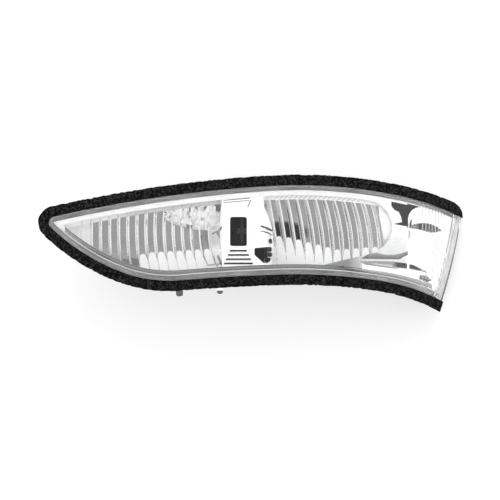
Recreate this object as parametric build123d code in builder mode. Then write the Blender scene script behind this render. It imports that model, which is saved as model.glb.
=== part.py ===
"""Turn signal lamp of a left-hand door mirror, in millimetres.

X runs along the lamp towards its outboard end, Z is up and the lens faces -Y.
The origin is the mouth of the main fixing boss, at the middle of the back.
"""
import math
import os

from build123d import *

# The lens surface: a plan curve of three tangent arcs, turned about an axis parallel to X
lamp_depth = 46.0
crest_x = -20.0
crown_radius = 120.0
flat_radius = 520.0
turn_radius = 120.0
end_radius = 62.0
inboard_angle = -14.0
turn_angle = 7.0
wrap_angle = 28.0
end_angle = 62.0
crown_half_angle = 32.0
axis_y = crown_radius - lamp_depth
reach = 90.0
cut_margin = 1.0

# The lens skirt in front view: tangent arcs (radius, turn in degrees) from the inboard tip
tip_x = -103.3
tip_z = 6.3
tip_fillet = 3.0
upper_heading = 13.06
upper_arcs = [(687.0, -9.45), (248.0, -15.4), (132.0, -16.0)]
lower_heading = -46.66
lower_arcs = [(104.6, 26.0), (67.0, 25.4), (947.0, -3.0), (273.0, -10.8), (102.0, -26.0)]
end_x = 102.2
end_z = -14.5
end_lean = 13.3
end_curve_radius = 333.0

# Lens
lens_wall = 2.2
skirt_height = 4.5
skirt_wall = 2.0
skirt_shoulder = 1.6
flange_width = 5.0
flange_thickness = 2.0
bare_end = 3.0
edge_nudge = 0.05
lug_top = -27.0
lug_corner = 1.2
lug_places = [(-35.25, 3.5, 5.2), (-15.0, 3.0, 4.0)]
optic_rib_radius = 1.2
optic_rib_height = 0.35
optic_rib_count = 8
optic_rib_first_angle = 31.0
optic_rib_step_angle = 1.8

# Foam gasket and its adhesive film
foam_width = 5.6
foam_thickness = 3.9
foam_clearance = 0.2
foam_end_overhang = 0.6
foam_corner_radius = 5.0
film_thickness = 0.3

# Housing
bead_thickness = 0.6
bead_width = 3.0
housing_wall = 2.0
housing_inset = 0.5
housing_flange_thickness = 2.0
back_y = -8.0
tip_back_y = -26.0
end_back_y = 3.0
back_flat_from = -52.0
back_flat_to = 60.0
back_end_from = 86.0
back_corner_radius = 6.0
boss_radius = 4.5
boss_bore_radius = 1.6
boss_bore_depth = 7.0
boss_places = [(0.0, 0.0), (-46.0, -8.0), (70.0, -12.0)]
rib_thickness = 1.6
rib_height = 4.0
standoff_radius = 3.0
screw_hole_radius = 1.2

# Reflector
reflector_gap = 1.6
reflector_clearance = 0.7
border_width = 2.2
ledge_width = 2.0
ledge_depth = 2.5
bowl_floor_y = -18.0
flute_radius = 2.7
flute_bend_radius = 30.0
flute_drop = 1.8
bowl_power = 4
bowl_wall = 2.0
back_clearance = 0.5
flute_centre_z = 2.0
floor_z = -8.2
floor_lean = 40.0
reflector_back_y = -16.2

# Left bowl
left_bowl_from = -96.0
left_bowl_to = -13.5
left_flute_first = -90.9
left_flute_pitch = 4.55
left_flute_count = 16
left_rise = 15.0
left_fan = 30.0

# Right bowl
right_bowl_from = 7.0
right_bowl_straight_to = 54.0
right_bowl_end_radius_x = 17.0
right_bowl_end_radius_z = 14.3
right_bowl_end_z = 2.6
right_rim_from = (36.0, -16.6)
right_rim_to = (58.65, -11.15)
right_flute_first = 9.0
right_flute_pitch = 4.8
right_flute_count = 13
right_rise = 7.0
right_fan = -30.0
right_lean = -9.0

# Centre shroud
shroud_from = -14.0
shroud_to = 6.6
shroud_thickness = 4.0
shroud_fit = 0.1
shroud_right_top = (6.0, 14.0)
shroud_right_middle = (9.2, 7.5)
shroud_right_low = (11.5, -2.0)
pocket_corners = [(2.2, -8.0), (10.8, -7.2), (11.0, -12.5), (9.4, -15.6), (6.8, -15.6), (2.2, -11.4)]
pocket_corner_radius = 0.8
window_from = -10.0
window_to = -1.6
window_top = 7.5
window_bottom = -7.0
window_corner = 1.2
louvre_count = 5
louvre_pitch = 2.1
louvre_radius = 1.15
louvre_top = -8.6
louvre_spread = 1.0
louvre_recess = 2.2
column_x = 4.5
column_y = -36.6
column_half_width = 6.5
column_half_depth = 5.4
column_web = 1.5

# End reflector
end_part_gap = 0.5
end_part_from = 79.0
end_part_corner = 6.0
end_part_back_y = -5.4
cup_x = 89.0
cup_z = -0.5
cup_radius = 6.6
cup_back_y = -8.0
cup_draft = 8.0
cup_floor_radius = 3.0
cup_hole_radius = 2.6
end_post_places = [(89.0, -14.0), (89.0, 8.0)]
end_post_radius = 1.8
tooth_count = 14
tooth_pitch = 1.07
tooth_radius = 0.62
tooth_x = 87.0
tooth_top = 4.8
tooth_bottom = -0.2
bar_from = 79.5
bar_to = 97.0
bar_front_y = -17.0
bar_back_y = -14.0
bar_sink = 0.6

# Dark notch over the end reflector's shoulder, and the two channels along the lower border
notch_border = 0.9
notch_steps = [(70.5, 12.9), (72.0, 11.0), (74.2, 10.0), (75.3, 7.7), (75.8, 5.0), (71.5, 4.0), (79.5, 2.6)]
channel_from = 57.0
channel_to = 89.0
channel_drop = 2.6
channel_inset = 2.6
channel_width = 2.2

# Boards and what is on them
board_thickness = 1.6
board_standoff = 3.0
board_from = -38.0
board_to = 46.0
board_top = 11.0
board_bottom = -13.0
board_corner = 2.0
led_board_x = -4.0
led_board_front_y = -37.0
led_board_top = 8.0
led_board_bottom = -6.0
end_board_from = 82.0
end_board_to = 96.0
end_board_top = 4.0
end_board_bottom = -9.0
end_board_standoff = 2.4
led_length = 3.5
led_width = 2.8
led_height = 1.9
led_y = -27.0
wire_radius = 0.6
wire_gap = 2.4
led_dish_radius = 1.2
led_dish_depth = 0.6
led_dish_draft = 20.0
part_chamfer = 0.15
resistor_places = [(-26.0, 4.0), (-26.0, 0.5), (-26.0, -3.0), (8.0, 8.0)]
resistor_size = (3.2, 1.6, 0.6)
diode_places = [(-18.0, -7.0)]
diode_size = (4.4, 2.6, 2.2)
capacitor_places = [(-8.0, 7.0)]
capacitor_size = (4.5, 3.2, 2.4)
regulator_places = [(-9.0, -8.0)]
regulator_size = (6.5, 3.5, 1.7)
wire_bend = 0.9
wire_z = 1.0
wire_from_x = 43.0
wire_turn_x = 61.0
wire_to_x = 84.0
wire_step = 6.0
wire_space = 3.0

led_z = 0.5
led_window = 7.0
end_screw_places = [(85.0, -6.0)]
end_screw_bite = 3.4

# Connector
socket_x = 24.0
socket_z = 0.0
socket_width = 17.0
socket_height = 11.0
socket_length = 12.0
socket_wall = 1.6
socket_floor = 2.0
socket_foot = 2.0
socket_corner = 1.5
seal_thickness = 0.8
pin_size = 0.64
pin_pitch = 3.5
pin_count = 3
pin_reach = 4.0
pin_point = 0.15

socket_fit = 0.1

# Screws
screw_pass = 0.3
screw_bite = 0.05
screw_head_radius = 2.4
screw_head_height = 1.4
screw_shank_radius = 1.1
screw_shank_length = 5.0
reflector_screw_length = 6.5
board_screw_length = 4.8
reflector_screw_places = [(-45.0, 7.0), (54.0, -7.0)]
board_screw_places = [(-33.0, -8.0), (41.0, 6.0)]

# Vent
vent_x = -24.0
vent_z = 4.0
vent_radius = 5.0
vent_wall = 1.2
vent_height = 1.6
vent_hole_radius = 1.5
membrane_thickness = 0.4
membrane_fit = 0.1

lens_seat = skirt_height + flange_thickness
housing_seat = lens_seat + bead_thickness
housing_flange_back = housing_seat + housing_flange_thickness
reflector_front = lens_wall + reflector_gap
reflector_grow = -(skirt_wall + reflector_clearance)
reflector_end_inset = bare_end + skirt_wall + reflector_clearance
opening_grow = reflector_grow - border_width
opening_end_inset = reflector_end_inset + border_width
inner_back_y = back_y - housing_wall
inner_end_back_y = end_back_y - housing_wall
board_back_y = inner_back_y - board_standoff
board_front_y = board_back_y - board_thickness
end_board_back_y = inner_end_back_y - end_board_standoff
end_board_front_y = end_board_back_y - board_thickness
wire_lane_y = board_back_y + 1.6
wire_end_lane_y = end_board_front_y - 1.2
pin_places = [(socket_x + (pin - (pin_count - 1) / 2) * pin_pitch, socket_z) for pin in range(pin_count)]


def heading(angle):
    """The unit vector of a direction in degrees."""
    return (math.cos(math.radians(angle)), math.sin(math.radians(angle)))


def radial(centre, radius, angle):
    """The point of an arc of the plan curve, its angle measured from the outward direction."""
    along = radius * math.sin(math.radians(angle))
    outward = radius * math.cos(math.radians(angle))
    return centre + Vector(along, outward)


flat_centre = Vector(crest_x, crown_radius - flat_radius)
turn_centre = radial(flat_centre, flat_radius - turn_radius, turn_angle)
end_centre = radial(turn_centre, turn_radius - end_radius, wrap_angle)
crown_axis = Axis((0, axis_y, 0), (1, 0, 0))
crown_out = Vector(
    0, -math.cos(math.radians(crown_half_angle)), math.sin(math.radians(crown_half_angle))
)
crown_plane = Plane(origin=(0, axis_y, 0), x_dir=(1, 0, 0), z_dir=Vector(1, 0, 0).cross(crown_out))


def plan_curve(depth):
    """Draws the plan curve a depth below the lens surface and returns its two ends."""
    ends = []
    for centre, radius, start, stop in (
        (flat_centre, flat_radius, inboard_angle, turn_angle),
        (turn_centre, turn_radius, turn_angle, wrap_angle),
        (end_centre, end_radius, wrap_angle, end_angle),
    ):
        arc = ThreePointArc(
            radial(centre, radius - depth, start),
            radial(centre, radius - depth, (start + stop) / 2),
            radial(centre, radius - depth, stop),
        )
        ends += [arc @ 0, arc @ 1]
    return ends[0], ends[-1]


def skin(outer_depth, inner_depth):
    """A curved plate between two depths below the lens surface."""
    with BuildPart() as plate:
        with BuildSketch(crown_plane):
            with BuildLine():
                outer_start, outer_end = plan_curve(outer_depth)
                inner_start, inner_end = plan_curve(inner_depth)
                Line(outer_start, inner_start)
                Line(outer_end, inner_end)
            make_face()
        revolve(axis=crown_axis, revolution_arc=2 * crown_half_angle)
    return plate.part


def behind(depth):
    """Everything that lies deeper than a depth below the lens surface."""
    return skin(depth, crown_radius / 2)


def outline(grow, end_inset):
    """The skirt's front view grown by an amount and cut off at the outboard end."""
    with BuildSketch() as drawing:
        with BuildLine():
            edge = JernArc((tip_x, tip_z), heading(upper_heading), *upper_arcs[0])
            for radius, turn in upper_arcs[1:]:
                edge = JernArc(edge @ 1, edge % 1, radius, turn)
            lower = JernArc((tip_x, tip_z), heading(lower_heading), *lower_arcs[0])
            for radius, turn in lower_arcs[1:]:
                lower = JernArc(lower @ 1, lower % 1, radius, turn)
            Line(edge @ 1, lower @ 1)
        make_face()
        fillet(drawing.vertices().sort_by(Axis.X)[0], tip_fillet)
        if grow:
            offset(amount=grow, kind=Kind.ARC)
        out_x, out_z = heading(-end_lean)
        with Locations((end_x - out_x * end_curve_radius, end_z - out_z * end_curve_radius)):
            Circle(end_curve_radius - end_inset, mode=Mode.INTERSECT)
    return drawing.sketch


def between(x_from, x_to):
    """A tall front-view band between two X values."""
    with BuildSketch() as band:
        with Locations(((x_from + x_to) / 2, 0)):
            Rectangle(x_to - x_from, 2 * reach)
    return band.sketch


def common(first, second):
    """The overlap of two front-view shapes."""
    with BuildSketch() as overlap:
        add(first)
        add(second, mode=Mode.INTERSECT)
    return overlap.sketch


def column_of(sketch):
    """A front-view shape carried through the whole depth of the lamp."""
    with BuildPart() as column:
        with BuildSketch(Plane.XZ):
            add(sketch)
        extrude(amount=reach, both=True)
    return column.part


def ring_of(outer, inner, outer_depth, inner_depth):
    """A plate between two depths, with an outer outline and an optional inner one."""
    with BuildPart() as ring:
        with BuildSketch(Plane.XZ):
            add(outer)
            if inner is not None:
                add(inner, mode=Mode.SUBTRACT)
        extrude(amount=reach, both=True)
        add(skin(outer_depth, inner_depth), mode=Mode.INTERSECT)
    return ring.part


def in_front_of_back(inset):
    """Everything in front of the housing's back wall, moved forward by an inset."""
    with BuildPart() as front:
        with BuildSketch(Plane.XY.offset(-reach)) as plan:
            with BuildLine():
                Polyline(
                    (-2 * reach, -reach),
                    (-2 * reach, tip_back_y - inset),
                    (tip_x, tip_back_y - inset),
                    (back_flat_from, back_y - inset),
                    (back_flat_to, back_y - inset),
                    (back_end_from, end_back_y - inset),
                    (2 * reach, end_back_y - inset),
                    (2 * reach, -reach),
                    close=True,
                )
            make_face()
            bends = plan.vertices().filter_by_position(Axis.X, tip_x - cut_margin, back_end_from + cut_margin)
            fillet(bends, back_corner_radius)
        extrude(amount=2 * reach)
    return front.part


def block(x_from, x_to, y_from, y_to, z_from, z_to):
    """A plain block between two corners."""
    size = (abs(x_to - x_from), y_to - y_from, z_to - z_from)
    with BuildPart(mode=Mode.PRIVATE) as solid:
        with Locations(((x_from + x_to) / 2, (y_from + y_to) / 2, (z_from + z_to) / 2)):
            Box(*size)
    return solid.part


def rod(x, z, radius, y_from, y_to):
    """A round bar along Y."""
    with BuildPart(mode=Mode.PRIVATE) as bar:
        with BuildSketch(Plane.XZ.offset(-y_to)):
            with Locations((x, z)):
                Circle(radius)
        extrude(amount=y_to - y_from)
    return bar.part


def keep(part, name):
    """Labels a finished piece and writes it."""
    part.label = name
    export_step(part, f"parts/{name}.step")


os.makedirs("parts", exist_ok=True)

# Lens
lens_face = ring_of(outline(0, bare_end), None, 0, lens_wall)
lens_skirt = ring_of(
    outline(0, bare_end), outline(-skirt_wall, bare_end + skirt_wall), 0, lens_seat
)
lens_flange = ring_of(
    outline(flange_width, 0), outline(-skirt_wall, bare_end + skirt_wall), skirt_height, lens_seat
)
with BuildSketch() as lug_view:
    for x, width, height in lug_places:
        with Locations((x, lug_top - height / 2)):
            RectangleRounded(width, height, lug_corner)
with BuildPart() as optic_ribs:
    with BuildSketch(crown_plane):
        for rib in range(optic_rib_count):
            spot = radial(
                end_centre,
                end_radius - lens_wall - optic_rib_height + optic_rib_radius,
                optic_rib_first_angle + rib * optic_rib_step_angle,
            )
            with Locations((spot.X, spot.Y)):
                Circle(optic_rib_radius)
    revolve(axis=crown_axis, revolution_arc=2 * crown_half_angle)
    add(column_of(outline(-skirt_wall / 2, bare_end + skirt_wall / 2)), mode=Mode.INTERSECT)
lens_body = behind(0)
with BuildPart() as lens:
    add(lens_face)
    add(lens_skirt)
    add(lens_flange)
    front_edges = []
    for edge in lens.edges():
        middle = edge @ 0.5
        nudge = Vector(0, edge_nudge, 0)
        if lens_body.is_inside(middle + nudge) and not lens_body.is_inside(middle - nudge):
            front_edges.append(edge)
    fillet(front_edges, skirt_shoulder)
    add(optic_ribs.part)
    add(ring_of(lug_view.sketch, None, skirt_height, lens_seat))
keep(lens.part, "lens")

# Foam gasket
foam_edge = outline(foam_clearance, -foam_end_overhang)
with BuildSketch() as foam_outer:
    add(outline(foam_width, -foam_end_overhang))
    fillet(foam_outer.vertices().sort_by(Axis.X)[-1], foam_corner_radius)
foam_front = skirt_height - film_thickness - foam_thickness
with BuildPart() as foam_gasket:
    add(ring_of(foam_outer.sketch, foam_edge, foam_front, skirt_height - film_thickness))
keep(foam_gasket.part, "foam_gasket")

# Adhesive film
with BuildPart() as gasket_film:
    add(
        ring_of(
            common(outline(flange_width, 0), foam_outer.sketch),
            outline(foam_clearance, 0),
            skirt_height - film_thickness,
            skirt_height,
        )
    )
keep(gasket_film.part, "gasket_film")

# Sealing bead
with BuildPart() as sealing_bead:
    add(
        ring_of(
            outline(bead_width - housing_inset, bare_end / 2),
            outline(-housing_inset, bare_end + housing_inset),
            lens_seat,
            housing_seat,
        )
    )
keep(sealing_bead.part, "sealing_bead")

# Housing
inner_grow = -housing_inset - housing_wall
inner_end_inset = bare_end + housing_inset + housing_wall
with BuildPart() as cavity:
    add(column_of(outline(inner_grow, inner_end_inset)))
    add(in_front_of_back(housing_wall), mode=Mode.INTERSECT)
with BuildPart() as housing:
    add(column_of(outline(-housing_inset, bare_end + housing_inset)))
    add(behind(housing_seat), mode=Mode.INTERSECT)
    add(in_front_of_back(0), mode=Mode.INTERSECT)
    for x, z in boss_places:
        add(rod(x, z, boss_radius, back_y - housing_wall, 0))
    for x, z in boss_places[1:]:
        start, stop = sorted((x, boss_places[0][0]))
        rib_top = back_y + rib_height
        add(block(start, stop, inner_back_y, rib_top, z - rib_thickness / 2, z + rib_thickness / 2))
    add(cavity.part, mode=Mode.SUBTRACT)
    add(
        ring_of(
            outline(flange_width, 0),
            outline(inner_grow, inner_end_inset),
            housing_seat,
            housing_flange_back,
        )
    )
    for x, z in boss_places:
        add(rod(x, z, boss_bore_radius, -boss_bore_depth, cut_margin), mode=Mode.SUBTRACT)
    for x, z in board_screw_places:
        add(rod(x, z, standoff_radius, board_back_y, back_y - housing_wall / 2))
        add(
            rod(x, z, screw_hole_radius, board_back_y - cut_margin, board_back_y + screw_shank_length),
            mode=Mode.SUBTRACT,
        )
    for x, z in end_screw_places:
        add(rod(x, z, standoff_radius, end_board_back_y, end_back_y - housing_wall / 2))
        add(
            rod(
                x, z, screw_hole_radius, end_board_back_y - cut_margin, end_board_back_y + end_screw_bite
            ),
            mode=Mode.SUBTRACT,
        )
    for x, z in reflector_screw_places:
        pass_radius = screw_shank_radius + screw_pass
        add(rod(x, z, pass_radius, inner_back_y - cut_margin, back_y + cut_margin), mode=Mode.SUBTRACT)
    add(rod(vent_x, vent_z, vent_radius, back_y - housing_wall / 2, back_y + vent_height))
    add(rod(vent_x, vent_z, vent_radius - vent_wall, back_y, cut_margin), mode=Mode.SUBTRACT)
    add(
        rod(vent_x, vent_z, vent_hole_radius, inner_back_y - cut_margin, back_y + cut_margin),
        mode=Mode.SUBTRACT,
    )
    add(
        block(
            socket_x - socket_width / 2 - socket_fit,
            socket_x + socket_width / 2 + socket_fit,
            inner_back_y - cut_margin,
            back_y + cut_margin,
            socket_z - socket_height / 2 - socket_fit,
            socket_z + socket_height / 2 + socket_fit,
        ),
        mode=Mode.SUBTRACT,
    )
keep(housing.part, "housing")

# Vent membrane
with BuildPart() as vent_membrane:
    add(rod(vent_x, vent_z, vent_radius - vent_wall - membrane_fit, back_y, back_y + membrane_thickness))
keep(vent_membrane.part, "vent_membrane")

# Reflector
opening_view = outline(opening_grow, opening_end_inset)
lowered_view = opening_view.moved(Location((0, -ledge_width, 0)))
reflector_view = common(
    outline(reflector_grow, reflector_end_inset), between(-2 * reach, end_part_from - end_part_gap)
)
left_view = common(opening_view, between(left_bowl_from, left_bowl_to))
with BuildSketch() as right_bowl_view:
    add(between(right_bowl_from, right_rim_from[0]))
    with BuildLine():
        Polyline(
            (right_rim_from[0], reach),
            right_rim_from,
            right_rim_to,
            (right_bowl_straight_to, right_bowl_end_z),
            (right_bowl_straight_to, reach),
            close=True,
        )
    make_face()
    with Locations((right_bowl_straight_to, right_bowl_end_z)):
        Ellipse(right_bowl_end_radius_x, right_bowl_end_radius_z)
right_view = common(opening_view, right_bowl_view.sketch)
with BuildSketch() as pocket_view:
    with BuildLine():
        Polyline(*pocket_corners, close=True)
    make_face()
    fillet(pocket_view.vertices(), pocket_corner_radius)
with BuildSketch() as shroud_view:
    with BuildLine():
        Polyline(
            (shroud_right_top[0], reach),
            (shroud_from, reach),
            (shroud_from, -reach),
            (shroud_to, -reach),
            shroud_right_low,
        )
        ThreePointArc(shroud_right_low, shroud_right_middle, shroud_right_top)
        Line(shroud_right_top, (shroud_right_top[0], reach))
    make_face()
    add(pocket_view.sketch, mode=Mode.SUBTRACT)
    add(outline(opening_grow - shroud_fit, opening_end_inset), mode=Mode.INTERSECT)
shroud_seat = reflector_front + shroud_thickness

with BuildPart() as wheel:
    with BuildSketch():
        with BuildLine():
            Polyline(
                (-flute_radius, flute_bend_radius - flute_radius),
                (-flute_radius, 0),
                (flute_radius, 0),
                (flute_radius, flute_bend_radius - flute_radius),
            )
            RadiusArc(
                (flute_radius, flute_bend_radius - flute_radius),
                (-flute_radius, flute_bend_radius - flute_radius),
                -flute_radius,
            )
        make_face()
    revolve(axis=Axis.X)

floor_point = Vector(bowl_floor_y - flute_drop, floor_z)
floor_run = Vector(math.sin(math.radians(floor_lean)), math.cos(math.radians(floor_lean)))
with BuildPart() as above_floor:
    with BuildSketch(Plane.YZ.offset(-reach)):
        with BuildLine():
            low = floor_point - floor_run * reach
            high = floor_point + floor_run * reach
            Polyline(low, high, (-2 * reach, high.Y), (-2 * reach, low.Y), close=True)
        make_face()
    extrude(amount=2 * reach)


def flutes(view, first, pitch, count, deep_x, shallow_x, rise, fan, lean):
    """One fluted bowl: wheels side by side, kept inside the bowl's opening and above its floor."""
    with BuildPart() as limits:
        add(column_of(common(view, lowered_view)))
        add(above_floor.part, mode=Mode.INTERSECT)
    pressed = []
    for place in range(count):
        x = first + pitch * place
        share = place / (count - 1)
        deep_y = bowl_floor_y - rise * ((x - deep_x) / (shallow_x - deep_x)) ** bowl_power
        swing = fan * share
        centre = (
            x + flute_bend_radius * math.sin(math.radians(swing)),
            deep_y - flute_bend_radius * math.cos(math.radians(swing)),
            flute_centre_z,
        )
        with BuildPart() as flute:
            add(wheel.part.moved(Location(centre, (0, lean, swing))))
            add(limits.part, mode=Mode.INTERSECT)
        pressed.append(flute.part)
    with BuildPart() as bowl:
        add(pressed)
    return bowl.part


left_bowl = flutes(
    left_view, left_flute_first, left_flute_pitch, left_flute_count, left_bowl_to, left_bowl_from,
    left_rise, left_fan, 0,
)
right_bowl = flutes(
    right_view, right_flute_first, right_flute_pitch, right_flute_count, right_bowl_from,
    right_bowl_straight_to + right_bowl_end_radius_x, right_rise, right_fan, right_lean,
)
with BuildSketch() as notch_view:
    with BuildLine():
        Polyline(
            (notch_steps[0][0], reach), *notch_steps, (notch_steps[-1][0], reach), close=True
        )
    make_face()
    add(outline(reflector_grow - notch_border, reflector_end_inset), mode=Mode.INTERSECT)
with BuildSketch() as channel_view:
    add(outline(reflector_grow - channel_inset, reflector_end_inset + channel_inset))
    add(
        outline(reflector_grow - channel_inset - channel_width, reflector_end_inset + channel_inset),
        mode=Mode.SUBTRACT,
    )
    with Locations(((channel_from + channel_to) / 2, -reach / 2)):
        Rectangle(channel_to - channel_from, reach, mode=Mode.INTERSECT)
with BuildPart() as reflector:
    add(column_of(reflector_view))
    add(behind(reflector_front), mode=Mode.INTERSECT)
    add(in_front_of_back(housing_wall + back_clearance), mode=Mode.INTERSECT)
    add(block(-2 * reach, 2 * reach, -reach, reflector_back_y, -reach, reach), mode=Mode.INTERSECT)
    for view in (left_view, right_view):
        add(ring_of(view, None, 0, reflector_front + ledge_depth), mode=Mode.SUBTRACT)
    add(left_bowl, mode=Mode.SUBTRACT)
    add(right_bowl, mode=Mode.SUBTRACT)
    add(ring_of(shroud_view.sketch, None, 0, shroud_seat), mode=Mode.SUBTRACT)
    add(
        column_of(common(opening_view, between(left_bowl_to + bowl_wall, right_bowl_from - bowl_wall))),
        mode=Mode.SUBTRACT,
    )
    add(
        block(
            left_bowl_to - cut_margin,
            right_bowl_from + cut_margin,
            led_y - led_window / 2,
            led_y + led_window / 2,
            led_z - led_window / 2,
            led_z + led_window / 2,
        ),
        mode=Mode.SUBTRACT,
    )
    add(column_of(pocket_view.sketch), mode=Mode.SUBTRACT)
    add(column_of(notch_view.sketch), mode=Mode.SUBTRACT)
    add(ring_of(channel_view.sketch, None, 0, reflector_front + channel_drop), mode=Mode.SUBTRACT)
    for x, z in reflector_screw_places:
        thread_radius = screw_shank_radius + screw_bite
        add(rod(x, z, standoff_radius, reflector_back_y - cut_margin, inner_back_y))
        add(
            rod(x, z, thread_radius, inner_back_y - screw_shank_length, inner_back_y + cut_margin),
            mode=Mode.SUBTRACT,
        )
keep(reflector.part, "reflector")

# Centre shroud
with BuildPart() as shroud_column:
    with BuildSketch(Plane.XY.offset(-reach)):
        with Locations((column_x, column_y)):
            Ellipse(column_half_width, column_half_depth)
    extrude(amount=2 * reach)
    add(column_of(shroud_view.sketch), mode=Mode.INTERSECT)
    add(skin(reflector_front, shroud_seat), mode=Mode.INTERSECT)
louvre_x = (window_from + window_to) / 2
with BuildSketch() as louvre_view:
    for louvre in range(louvre_count):
        with Locations((louvre_x, louvre_top - louvre * louvre_pitch)):
            Rectangle(window_to - window_from + 2 * louvre_spread * louvre, louvre_pitch)
louvre_recess_ring = ring_of(louvre_view.sketch, None, 0, reflector_front + louvre_recess)
with BuildPart() as louvres:
    for louvre in range(louvre_count):
        z = louvre_top - louvre * louvre_pitch
        front_y = axis_y - math.sqrt((crown_radius - reflector_front) ** 2 - z**2)
        with BuildSketch(Plane.YZ.offset(louvre_x)):
            with Locations((front_y + louvre_radius, z)):
                Circle(louvre_radius)
        extrude(amount=(window_to - window_from) / 2 + louvre_spread * louvre, both=True)
    add(column_of(shroud_view.sketch), mode=Mode.INTERSECT)
with BuildPart() as centre_shroud:
    add(ring_of(shroud_view.sketch, None, reflector_front, shroud_seat))
    add(ring_of(between(column_x, reach), None, 0, shroud_seat - column_web), mode=Mode.SUBTRACT)
    add(shroud_column.part)
    with BuildSketch(Plane.XZ):
        with Locations(((window_from + window_to) / 2, (window_top + window_bottom) / 2)):
            RectangleRounded(window_to - window_from, window_top - window_bottom, window_corner)
    extrude(amount=reach, mode=Mode.SUBTRACT)
    add(louvre_recess_ring, mode=Mode.SUBTRACT)
    add(louvres.part)
keep(centre_shroud.part, "centre_shroud")

# End reflector
with BuildSketch() as end_view:
    add(common(outline(reflector_grow, reflector_end_inset), between(end_part_from, reach * 2)))
    inner_corners = end_view.vertices().sort_by(Axis.X)[:2]
    fillet(inner_corners.sort_by(Axis.Y)[-1], end_part_corner)
with BuildPart() as cup:
    with BuildSketch(Plane.XZ.offset(-cup_back_y)):
        with Locations((cup_x, cup_z)):
            Circle(cup_radius)
    extrude(amount=reach, taper=-cup_draft)
    fillet(cup.edges().sort_by(Axis.Y)[-1], cup_floor_radius)
with BuildPart() as ribbed_bar:
    add(block(bar_from, bar_to, bar_front_y, bar_back_y, tooth_bottom, tooth_top))
    with BuildSketch(Plane.XY.offset(tooth_bottom)):
        for tooth in range(tooth_count):
            with Locations((tooth_x + (tooth - (tooth_count - 1) / 2) * tooth_pitch, bar_front_y)):
                Circle(tooth_radius)
    extrude(amount=tooth_top - tooth_bottom)
    add(behind(reflector_front + bar_sink), mode=Mode.INTERSECT)
with BuildPart() as end_reflector:
    add(column_of(end_view.sketch))
    add(behind(reflector_front), mode=Mode.INTERSECT)
    add(block(0, 2 * reach, -reach, end_part_back_y, -reach, reach), mode=Mode.INTERSECT)
    add(in_front_of_back(housing_wall + wire_space), mode=Mode.INTERSECT)
    add(cup.part, mode=Mode.SUBTRACT)
    add(ring_of(channel_view.sketch, None, 0, reflector_front + channel_drop), mode=Mode.SUBTRACT)
    add(rod(cup_x, cup_z, cup_hole_radius, cup_back_y - cut_margin, 0), mode=Mode.SUBTRACT)
    add(ribbed_bar.part)
    for x, z in end_post_places:
        with BuildSketch(Plane.XZ.offset(-inner_end_back_y)):
            with Locations((x, z)):
                Circle(end_post_radius)
        extrude(amount=inner_end_back_y - end_part_back_y + cut_margin)
keep(end_reflector.part, "end_reflector")

# Circuit boards
with BuildPart() as circuit_board:
    with BuildSketch(Plane.XZ.offset(-board_back_y)):
        with Locations(((board_from + board_to) / 2, (board_top + board_bottom) / 2)):
            RectangleRounded(board_to - board_from, board_top - board_bottom, board_corner)
        with Locations(board_screw_places):
            Circle(screw_shank_radius + screw_pass, mode=Mode.SUBTRACT)
        with Locations(*pin_places):
            Rectangle(pin_size, pin_size, mode=Mode.SUBTRACT)
    extrude(amount=board_thickness)
keep(circuit_board.part, "circuit_board")

with BuildPart() as led_board:
    add(
        block(
            led_board_x - board_thickness / 2,
            led_board_x + board_thickness / 2,
            led_board_front_y,
            board_front_y,
            led_board_bottom,
            led_board_top,
        )
    )
keep(led_board.part, "led_board")

with BuildPart() as end_board:
    with BuildSketch(Plane.XZ.offset(-end_board_back_y)):
        with Locations(((end_board_from + end_board_to) / 2, (end_board_top + end_board_bottom) / 2)):
            RectangleRounded(end_board_to - end_board_from, end_board_top - end_board_bottom, board_corner)
        with Locations(end_screw_places):
            Circle(screw_shank_radius + screw_pass, mode=Mode.SUBTRACT)
    extrude(amount=board_thickness)
keep(end_board.part, "end_board")


# Light sources: a white body with a round window over the chip
def light_source(name, seat):
    """One light source standing on its seat plane."""
    with BuildPart() as source:
        with BuildSketch(seat):
            Rectangle(led_length, led_width)
        extrude(amount=led_height)
        with BuildSketch(seat.offset(led_height)):
            Circle(led_dish_radius)
        extrude(amount=-led_dish_depth, taper=led_dish_draft, mode=Mode.SUBTRACT)
    keep(source.part, name)


left_face_x = led_board_x - board_thickness / 2
right_face_x = led_board_x + board_thickness / 2
light_source("led_left", Plane(origin=(left_face_x, led_y, led_z), x_dir=(0, 1, 0), z_dir=(-1, 0, 0)))
light_source("led_right", Plane(origin=(right_face_x, led_y, led_z), x_dir=(0, 1, 0), z_dir=(1, 0, 0)))
light_source("led_end", Plane(origin=(cup_x, end_board_front_y, cup_z), x_dir=(1, 0, 0), z_dir=(0, -1, 0)))

# Parts soldered to the back of the circuit board
solder_side = Plane(origin=(0, board_back_y, 0), x_dir=(1, 0, 0), z_dir=(0, 1, 0))


def soldered(name, places, length, width, height):
    """Flat-bottomed parts on the back of the circuit board; places are X and Z."""
    with BuildPart() as group:
        with BuildSketch(solder_side):
            with Locations(*[(x, -z) for x, z in places]):
                Rectangle(length, width)
        extrude(amount=height)
        chamfer(group.faces().sort_by(Axis.Y)[-len(places):].edges(), part_chamfer)
    keep(group.part, name)


soldered("resistors", resistor_places, *resistor_size)
soldered("diode", diode_places, *diode_size)
soldered("capacitor", capacitor_places, *capacitor_size)
soldered("regulator", regulator_places, *regulator_size)

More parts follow.
